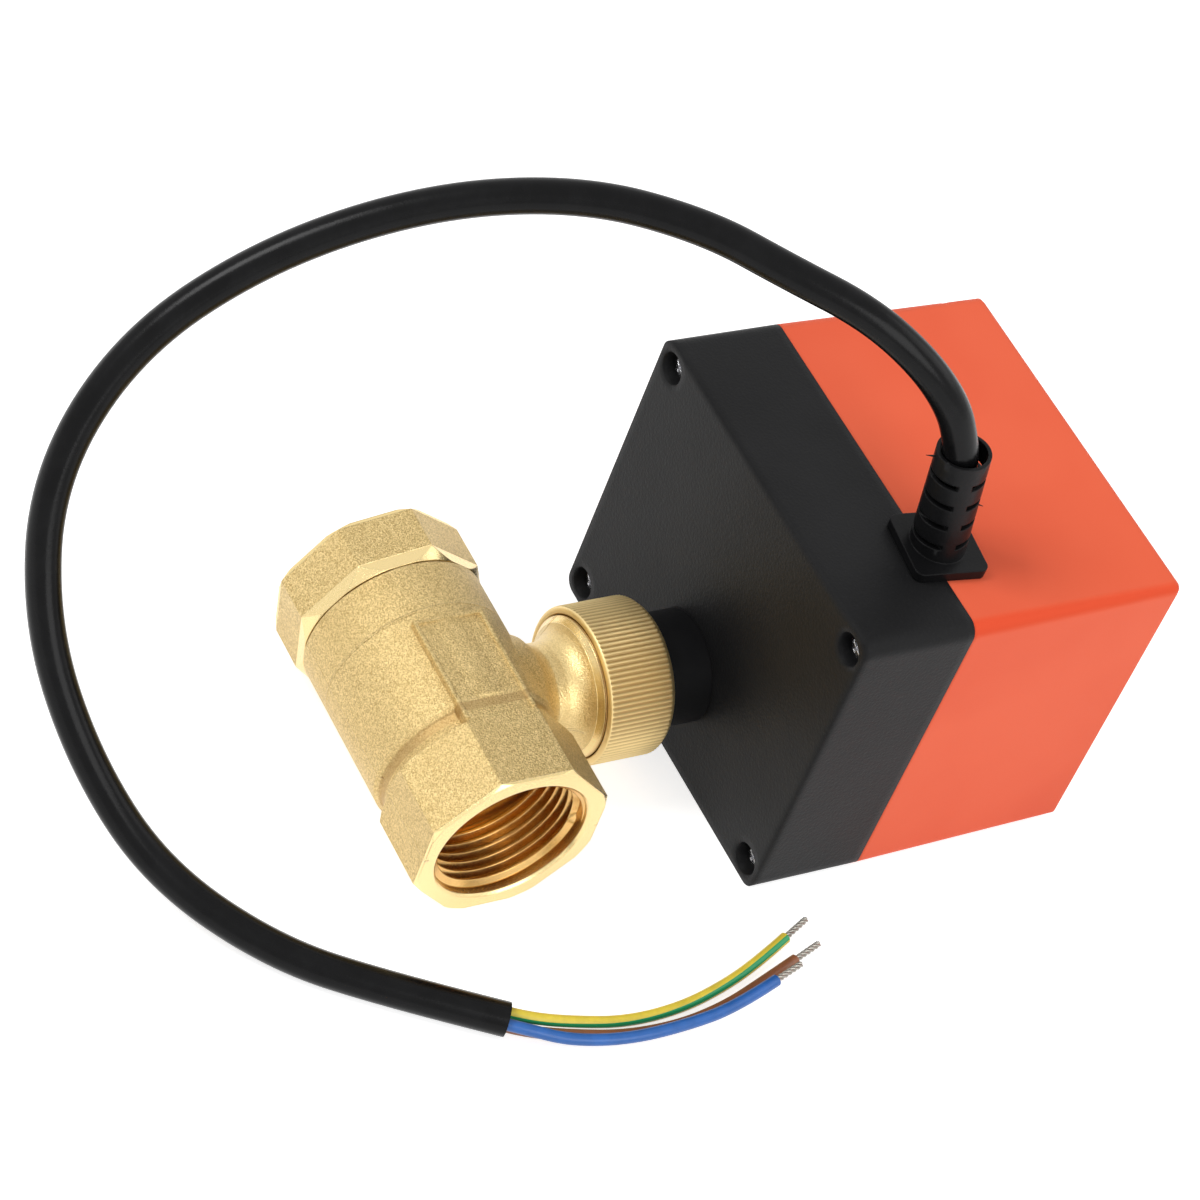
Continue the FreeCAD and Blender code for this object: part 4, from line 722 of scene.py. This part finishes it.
def makeNut():
    s = nutSet
    nut = turnedPiece("knurledNut", nutOutline(), s["ridges"] * 2)
    half = math.pi / s["ridges"]

    def isValley(place):
        radius = math.hypot(place.x, place.z)
        turn = math.atan2(place.z, place.x) / half
        low, high = s["knurlFront"] - s["alongSlack"], s["knurlRear"] + s["alongSlack"]
        onKnurl = low < place.y / mm < high and radius > (s["outer"] - s["ridgeDepth"]) * mm
        return onKnurl and round(turn) % 2 == 1

    selectPoints(nut, isValley)
    bpy.ops.transform.resize(value=(s["valley"], 1, s["valley"]), center_override=(0, 0, 0))
    bpy.ops.object.mode_set(mode="OBJECT")
    addModifier(
        nut, "BEVEL", width=s["edge"] * mm, segments=1, limit_method="ANGLE",
        angle_limit=s["edgeAngle"],
    )
    smoothByAngle(nut, s["smooth"])
    material = brassFinish("knurledBrass", nutMachined, shade=knurlShade, polish=0.0)
    settle(nut, "union_nut", "nut", material)


makeNut()
print("union nut knurled")


# pipe threads in both ports

threadSet = {
    "pitch": 1.814, "root": 13.21, "crest": 12.08, "turns": 7, "steps": 72,
    "crestStart": 0.72, "crestEnd": 1.0, "footEnd": 1.72,   # in half pitches
    "nearEnd": 27.3, "farEnd": -29.4,
    "runIn": 12, "sliceAngle": 0.02, "sliceDrift": 0.1,
    "colour": (0.84, 0.52, 0.19), "rough": 0.22,
}


def makeThread(name, start, turnedTo, material):
    s = threadSet
    half = s["pitch"] / 2
    ridge = [
        (start, s["root"]), (start + half * s["crestStart"], s["crest"]),
        (start + half * s["crestEnd"], s["crest"]), (start + half * s["footEnd"], s["root"]),
        (start, s["root"]),
    ]
    piece = drawOutline(name, [(x * mm, radius * mm, 0) for x, radius in ridge])
    bpy.ops.mesh.remove_doubles(threshold=mergeReach)
    bpy.ops.object.mode_set(mode="OBJECT")
    addModifier(
        piece, "SCREW", axis="X", screw_offset=-turnedTo * s["pitch"] * mm, iterations=s["turns"],
        steps=s["steps"], render_steps=s["steps"], angle=fullTurn, use_merge_vertices=False,
    )
    bpy.ops.object.mode_set(mode="EDIT")
    bpy.ops.mesh.select_all(action="DESELECT")
    bpy.ops.mesh.select_non_manifold(
        extend=False, use_boundary=True, use_wire=False, use_multi_face=False,
        use_non_contiguous=False, use_verts=False,
    )
    bpy.ops.mesh.fill()
    bpy.ops.mesh.select_all(action="SELECT")
    bpy.ops.mesh.normals_make_consistent(inside=False)
    centre = (start + half - turnedTo * half * s["sliceDrift"]) * mm
    reach = s["pitch"] * mm

    def onSlice(place, turn):
        apart = math.remainder(math.atan2(place.z, place.y) - turn, fullTurn)
        return abs(apart) < s["sliceAngle"] and abs(place.x - centre) < reach

    # the first part of the ridge grows out of the bore wall
    for index in range(s["runIn"]):
        turn = turnedTo * index * fullTurn / s["steps"]
        selectPoints(piece, lambda place: onSlice(place, turn))
        grown = 1 + (s["root"] / s["crest"] - 1) * (1 - index / s["runIn"])
        bpy.ops.transform.resize(value=(1, grown, grown), center_override=(0, 0, 0))
    bpy.ops.object.mode_set(mode="OBJECT")
    smoothByAngle(piece)
    settle(piece, None, "valve", material)


def makeThreads():
    s = threadSet
    material = metalFinish("threadBrass", s["colour"], s["rough"])
    makeThread("nearPortThread", s["nearEnd"] - s["pitch"], 1, material)
    makeThread("farPortThread", s["farEnd"], -1, material)


makeThreads()
print("port threads cut")


# cross-head screws in the four corners

screwSet = {
    "headRadius": 2.4, "headRear": 49.3, "headFront": 47.7, "headDepth": 0.95,
    "dome": ((0, 0), (1.2, 0.03), (1.9, 0.2), (2.25, 0.5)),   # radius, back from the front
    "shankRadius": 1.48, "tip": 77.3, "tipLength": 1, "pointRadius": 0.2,
    "across": (32.0, -30.0), "up": (40.35, -12.65), "steps": 40,
    "recess": (2.7, 0.62, 1.1), "recessTurns": (20, 110),
    "colour": (0.85, 0.85, 0.87), "rough": 0.24,
}


def makeScrews():
    s = screwSet
    front = s["headFront"]
    outline = [
        *((radius, front + back) for radius, back in s["dome"]),
        (s["headRadius"], front + s["headDepth"]), (s["headRadius"], s["headRear"]),
        (s["shankRadius"], s["headRear"]), (s["shankRadius"], s["tip"] - s["tipLength"]),
        (s["pointRadius"], s["tip"]), (0, s["tip"]),
    ]
    screw = turnedPiece("crossScrews", outline, s["steps"])
    width, thin, deep = (part * mm for part in s["recess"])
    for turned in s["recessTurns"]:
        cutBox(screw, (0, front * mm, 0), (0, math.radians(turned), 0), (width, deep * 2, thin))
    screws = []
    for x in s["across"]:
        for z in s["up"]:
            copied = screw.copy()
            copied.data = screw.data.copy()
            scene.collection.objects.link(copied)
            copied.location = (x * mm, 0, z * mm)
            screws.append(copied)
    bpy.data.objects.remove(screw)
    whole = joinPieces(screws)
    whole.name = "crossScrews"
    smoothByAngle(whole)
    material = metalFinish("screwZinc", s["colour"], s["rough"])
    settle(whole, "housing_screws", "actuator_body", material)


makeScrews()
print("corner screws made")


# bare strands of tinned copper, twisted, at the ends of the cores

strandSet = {
    "length": 6.0, "wire": 0.25, "sides": 8, "ring": 0.33, "wires": 4, "turns": 1.5, "steps": 40,
    "smooth": 50, "colour": (0.36, 0.34, 0.30), "rough": 0.3,
}


def makeStrand(core):
    s = strandSet
    end, before = Vector(core["route"][-1]), Vector(core["route"][-2])
    rings = []
    for index in range(s["wires"]):
        turn = fullTurn * index / s["wires"]
        x, y = s["ring"] * math.cos(turn), s["ring"] * math.sin(turn)
        deselectAll()
        bpy.ops.mesh.primitive_circle_add(
            vertices=s["sides"], radius=s["wire"] * mm, location=(x * mm, y * mm, 0)
        )
        rings.append(bpy.context.object)
    piece = joinPieces(rings)
    addModifier(
        piece, "SCREW", axis="Z", screw_offset=s["length"] * mm, iterations=1, steps=s["steps"],
        render_steps=s["steps"], angle=s["turns"] * fullTurn, use_merge_vertices=False,
    )
    bpy.ops.object.mode_set(mode="EDIT")
    bpy.ops.mesh.select_all(action="SELECT")
    bpy.ops.mesh.fill_holes(sides=s["sides"])
    bpy.ops.mesh.select_all(action="SELECT")
    bpy.ops.mesh.normals_make_consistent(inside=False)
    bpy.ops.object.mode_set(mode="OBJECT")
    piece.rotation_euler = (end - before).to_track_quat("Z", "Y").to_euler()
    piece.location = end * mm
    return piece


def makeStrands():
    s = strandSet
    whole = joinPieces([makeStrand(core) for core in coreSet["cores"].values()])
    whole.name = "twistedStrands"
    smoothByAngle(whole, s["smooth"])
    material = metalFinish("tinnedStrands", s["colour"], s["rough"])
    settle(whole, "bare_strands", "actuator_body", material)


makeStrands()
print("strands twisted")


# the gland with its second row of notches, on the side turned to the eye

notchSet = {
    "foot": (19.1, 68.5, 44.35), "axis": (-0.0784, -0.1087, 0.9910), "radius": 4.5,
    "towards": (0.86, 0.26, 0.08), "heights": (4.9, 9.2, 13.5, 17.8), "size": (1.9, 3.0, 1.1),
}


def makeNotchedGland():
    s = notchSet
    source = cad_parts["cable_gland"]
    gland = bpy.data.objects.new("notchedGland", source.data.copy())
    scene.collection.objects.link(gland)
    axis = Vector(s["axis"])
    across = axis.cross(Vector(s["towards"])).normalized()
    towards = across.cross(axis).normalized()
    turned = Matrix((towards, across, axis)).transposed().to_euler()
    size = [part * mm for part in s["size"]]
    for height in s["heights"]:
        place = Vector(s["foot"]) + axis * height + towards * s["radius"]
        cutBox(gland, place * mm, turned, size)
    settle(gland, "cable_gland", "actuator_body", finishes["cable_gland"])


makeNotchedGland()
print("gland notched")


# two thin flash nibs left on the moulded gland

nibSet = {
    "nibs": [
        ((15.6, 61.5, 64.2), (-0.45, -0.88, -0.13)), ((20.7, 71.1, 56.2), (0.5, 0.86, -0.1)),
    ],
    "length": 1.5, "radius": 0.22, "point": 0.2, "sides": 8,
}


def makeNibs():
    s = nibSet
    nibs = []
    for place, direction in s["nibs"]:
        deselectAll()
        bpy.ops.mesh.primitive_cone_add(
            vertices=s["sides"], radius1=s["radius"] * mm,
            radius2=s["radius"] * s["point"] * mm, depth=s["length"] * mm,
        )
        nib = bpy.context.object
        nib.rotation_euler = Vector(direction).to_track_quat("Z", "Y").to_euler()
        nib.location = Vector(place) * mm
        nibs.append(nib)
    whole = joinPieces(nibs)
    whole.name = "glandNibs"
    settle(whole, None, "actuator_body", finishes["cable_gland"])


makeNibs()
print("flash nibs made")


# floor, background and lamps

roomSet = {
    "floorLevel": -16.65 * mm, "floorSize": 6, "floorColour": 0.86, "glow": 0.66, "sky": 0.42,
    "white": 1.0,
}


def directRays(tree):
    # 1 where the eye, a mirror or a clear piece sees the surface, 0 for its light on others
    path = tree.nodes.new("ShaderNodeLightPath")
    reached = path.outputs["Is Camera Ray"]
    for ray in ("Is Glossy Ray", "Is Transmission Ray"):
        either = tree.nodes.new("ShaderNodeMath")
        either.operation = "MAXIMUM"
        tree.links.new(reached, either.inputs[0])
        tree.links.new(path.outputs[ray], either.inputs[1])
        reached = either.outputs[0]
    return reached


def makeFloor():
    s = roomSet
    deselectAll()
    bpy.ops.mesh.primitive_plane_add(size=s["floorSize"], location=(0, 0, s["floorLevel"]))
    floor = bpy.context.object
    floor.name = "paleFloor"
    material = bpy.data.materials.new("paleFloor")
    material.use_nodes = True
    tree = material.node_tree
    tree.nodes.clear()
    diffuse = tree.nodes.new("ShaderNodeBsdfDiffuse")
    diffuse.inputs[0].default_value = (*[s["floorColour"]] * 3, 1)
    glow = tree.nodes.new("ShaderNodeEmission")
    level = tree.nodes.new("ShaderNodeMath")
    level.operation = "MULTIPLY"
    level.inputs[1].default_value = s["glow"]
    both = tree.nodes.new("ShaderNodeAddShader")
    output = tree.nodes.new("ShaderNodeOutputMaterial")
    tree.links.new(directRays(tree), level.inputs[0])
    tree.links.new(level.outputs[0], glow.inputs[1])
    tree.links.new(diffuse.outputs[0], both.inputs[0])
    tree.links.new(glow.outputs[0], both.inputs[1])
    tree.links.new(both.outputs[0], output.inputs[0])
    floor.data.materials.append(material)


def makeWorld():
    world = bpy.data.worlds.new("studio")
    world.use_nodes = True
    tree = world.node_tree
    background = tree.nodes["Background"]
    background.inputs[0].default_value = (1, 1, 1, 1)
    level = tree.nodes.new("ShaderNodeMapRange")
    level.inputs["To Min"].default_value = roomSet["sky"]
    level.inputs["To Max"].default_value = roomSet["white"]
    tree.links.new(directRays(tree), level.inputs["Value"])
    tree.links.new(level.outputs[0], background.inputs[1])
    scene.world = world


lampSet = {
    "aim": (0, 0.03, 0),
    "lamps": {
        "keyLamp": {"from": (-0.35, -0.75, 1.05), "size": 0.5, "watts": 7.5},
        "fillLamp": {"from": (0.95, 0.1, 0.6), "size": 0.7, "watts": 4.5},
        "backLamp": {"from": (0.35, 1.1, 0.7), "size": 0.8, "watts": 2.5},
    },
}


def makeLamps():
    for name, s in lampSet["lamps"].items():
        data = bpy.data.lights.new(name, "AREA")
        data.size = s["size"]
        data.energy = s["watts"]
        lamp = bpy.data.objects.new(name, data)
        lamp.location = s["from"]
        towards = Vector(lampSet["aim"]) - Vector(s["from"])
        lamp.rotation_euler = towards.to_track_quat("-Z", "Y").to_euler()
        scene.collection.objects.link(lamp)


makeFloor()
makeWorld()
makeLamps()
print("floor and lamps set")


# the first point of each cord's route is worked out in metres, and not kept

for piece, cord, diameter in cords:
    tuple(part * mm for part in cord["route"][0])
